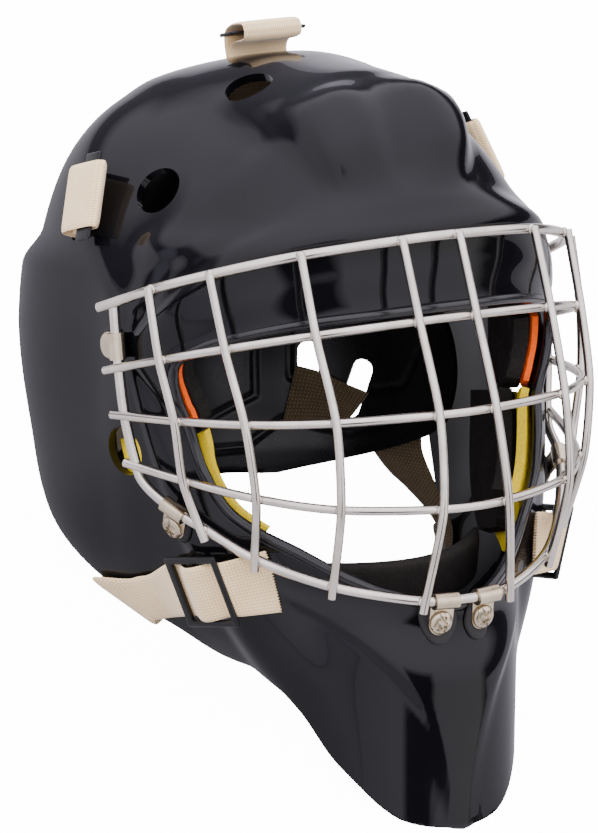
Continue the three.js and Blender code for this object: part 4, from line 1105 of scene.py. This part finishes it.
def liner(where, kind, side, spokes, depths, low, high, label="", rows=60):
    """A liner from spoke to spoke and from depth to depth (0 at the face edge, 1 at the rim). Its faces
    are `low` and `high` mm further in than the space that is left under the shell."""
    around = np.linspace(*spokes, rows)[:, None] * side
    across = np.linspace(*depths, 28)[None, :]
    grid = shell_point(*np.broadcast_arrays(around, across))
    name, node = f"{where}_liner_{kind}{label}", f"{where}_pad_{kind}{label}"
    return pad(name, grid, UNDER + low, UNDER + high, *FOAMS[kind], node, -shell_normal(grid))


liner("brow", "orange", 1, (-3.5, 3.5), (-0.006, 0.2), 1.4, 4, rows=90)
liner("brow", "foam", 1, (-3.5, 3.5), (0.01, 0.2), 4.5, 12, rows=90)
for side, label in SIDES:
    liner("temple", "orange", side, (4.9, 6.9), (-0.01, 0.34), 0, 3.6, "_" + label)
    liner("temple", "foam", side, (4.9, 6.9), (-0.01, 0.34), 4, 13, "_" + label)
    liner("cheek", "yellow", side, (7.1, 10.1), (-0.045, 0.48), 0, 5, "_" + label)
    liner("cheek", "foam", side, (7.1, 9.8), (-0.01, 0.48), 6.4, 15, "_" + label)


def make_chin_sling():
    t = np.linspace(-1, 1, 80)[:, None]
    j = np.linspace(0, 1, 28)[None, :]
    grid = np.stack(np.broadcast_arrays(62 * t, 46 + 38 * t * t + 3 * j, -76 - 22 * j), -1)
    return pad("chin_cup_foam", grid, -4, 4, *FOAMS["foam"], "chin_sling", grid_normals(grid), 6, 0.6, 0.3)


make_chin_sling()

# ---------------------------------------------------------------- floor and lights
# the floor is grey paper to the light, and glows white to the camera alone
FLOOR_GLOW = 14.0
# colours of the surround by the way round: 0.25 is the wearer's right, 0.5 in front, 0.75 the left
LIGHT_ROUND = [(0.1, "#77747f"), (0.17, "#3b3a41"), (0.2, "#d6d1ec"), (0.47, "#f0edf2"),
               (0.645, "#ece8e6"), (0.665, "#1c1a1b"), (0.88, "#2c2a2e"), (0.94, "#77747f")]
# a dark card stands in it and ends at CARD_TOP; heights go from -1, straight down, to 1, straight up
DARK_CARD = [(0.43, "#ffffff"), (0.445, "#08080a"), (0.5, "#08080a"), (0.515, "#ffffff")]
CARD_TOP = 0.42
OVERHEAD, OVERHEAD_FROM = "#e9e6f2", 0.16
LEVEL_STRENGTH, STRENGTH_RISE, LEAST_STRENGTH = 1.8, 1.7, 0.5

bpy.ops.object.select_all(action="DESELECT")
bpy.ops.mesh.primitive_plane_add(size=8, location=(0, 0, -0.0005))
floor = bpy.context.object
floor.name = "studio_floor"
paper, paper_tree, paper_shader = start("matt_white_paper", Roughness=0.85)
mottle = blotches(paper_tree, 120, 2)
coat(paper_tree, paper_shader, tints(paper_tree, mottle, (0.2, "#9d9ca0"), (0.8, "#a5a4a6")))
seen = add(paper_tree, "ShaderNodeLightPath").outputs["Is Camera Ray"]
paper_shader.inputs["Emission Color"].default_value = (1, 1, 1, 1)
glow = maths(paper_tree, "MULTIPLY", seen, FLOOR_GLOW)
paper_tree.links.new(glow, paper_shader.inputs["Emission Strength"])
floor.data.materials.append(paper)

world = bpy.data.worlds.new("studio_air")
bpy.context.scene.world = world
world.use_nodes = True
air = world.node_tree
facing = add(air, "ShaderNodeSeparateXYZ", [(0, add(air, "ShaderNodeTexCoord").outputs["Generated"])])
height = facing.outputs[2]
turned_to = maths(air, "ARCTAN2", facing.outputs[0], maths(air, "MULTIPLY", facing.outputs[1], -1.0))
way_round = maths(air, "ADD", maths(air, "DIVIDE", turned_to, 2 * math.pi), 0.5)
above_card = maths(air, "MULTIPLY", maths(air, "SUBTRACT", height, CARD_TOP), 9.0)
card = maths(air, "MINIMUM", maths(air, "MAXIMUM", tints(air, way_round, *DARK_CARD), above_card), 1.0)
overhead = maths(air, "MULTIPLY", maths(air, "SUBTRACT", height, OVERHEAD_FROM), 7.0)
light_round = tints(air, way_round, *LIGHT_ROUND)
surround = add(air, "ShaderNodeMix", [(0, overhead), (6, light_round)], data_type="RGBA")
surround.inputs[7].default_value = colour(OVERHEAD)
air.links.new(surround.outputs[2], air.nodes["Background"].inputs["Color"])
brightness = maths(air, "ADD", maths(air, "MULTIPLY", height, STRENGTH_RISE), LEVEL_STRENGTH)
brightness = maths(air, "MAXIMUM", brightness, LEAST_STRENGTH)
air.links.new(maths(air, "MULTIPLY", brightness, card), air.nodes["Background"].inputs["Strength"])


def softbox(name, right, up, back, width, height, power):
    """A large soft light placed by the view's own directions, in mm, aimed at the mask."""
    data = bpy.data.lights.new(name, "AREA")
    data.shape, data.size, data.size_y, data.energy = "RECTANGLE", width, height, power
    light = bpy.data.objects.new(name, data)
    bpy.context.scene.collection.objects.link(light)
    spot, aim = stand(seen_from(right, up, back)), stand(np.array([0, 80, 0]))
    x, y, z = axes_round(spot - aim)
    light.visible_glossy = False
    light.matrix_world = Matrix([[*row] for row in np.column_stack([x, y, z, spot])] + [[0, 0, 0, 1]])
    return light


softbox("key_softbox", -1400, 1300, 900, 1.2, 1.2, 55)
softbox("top_softbox", 500, 1900, -200, 1.2, 1.2, 35)
softbox("right_softbox", 1600, 400, 300, 0.6, 1.8, 14)
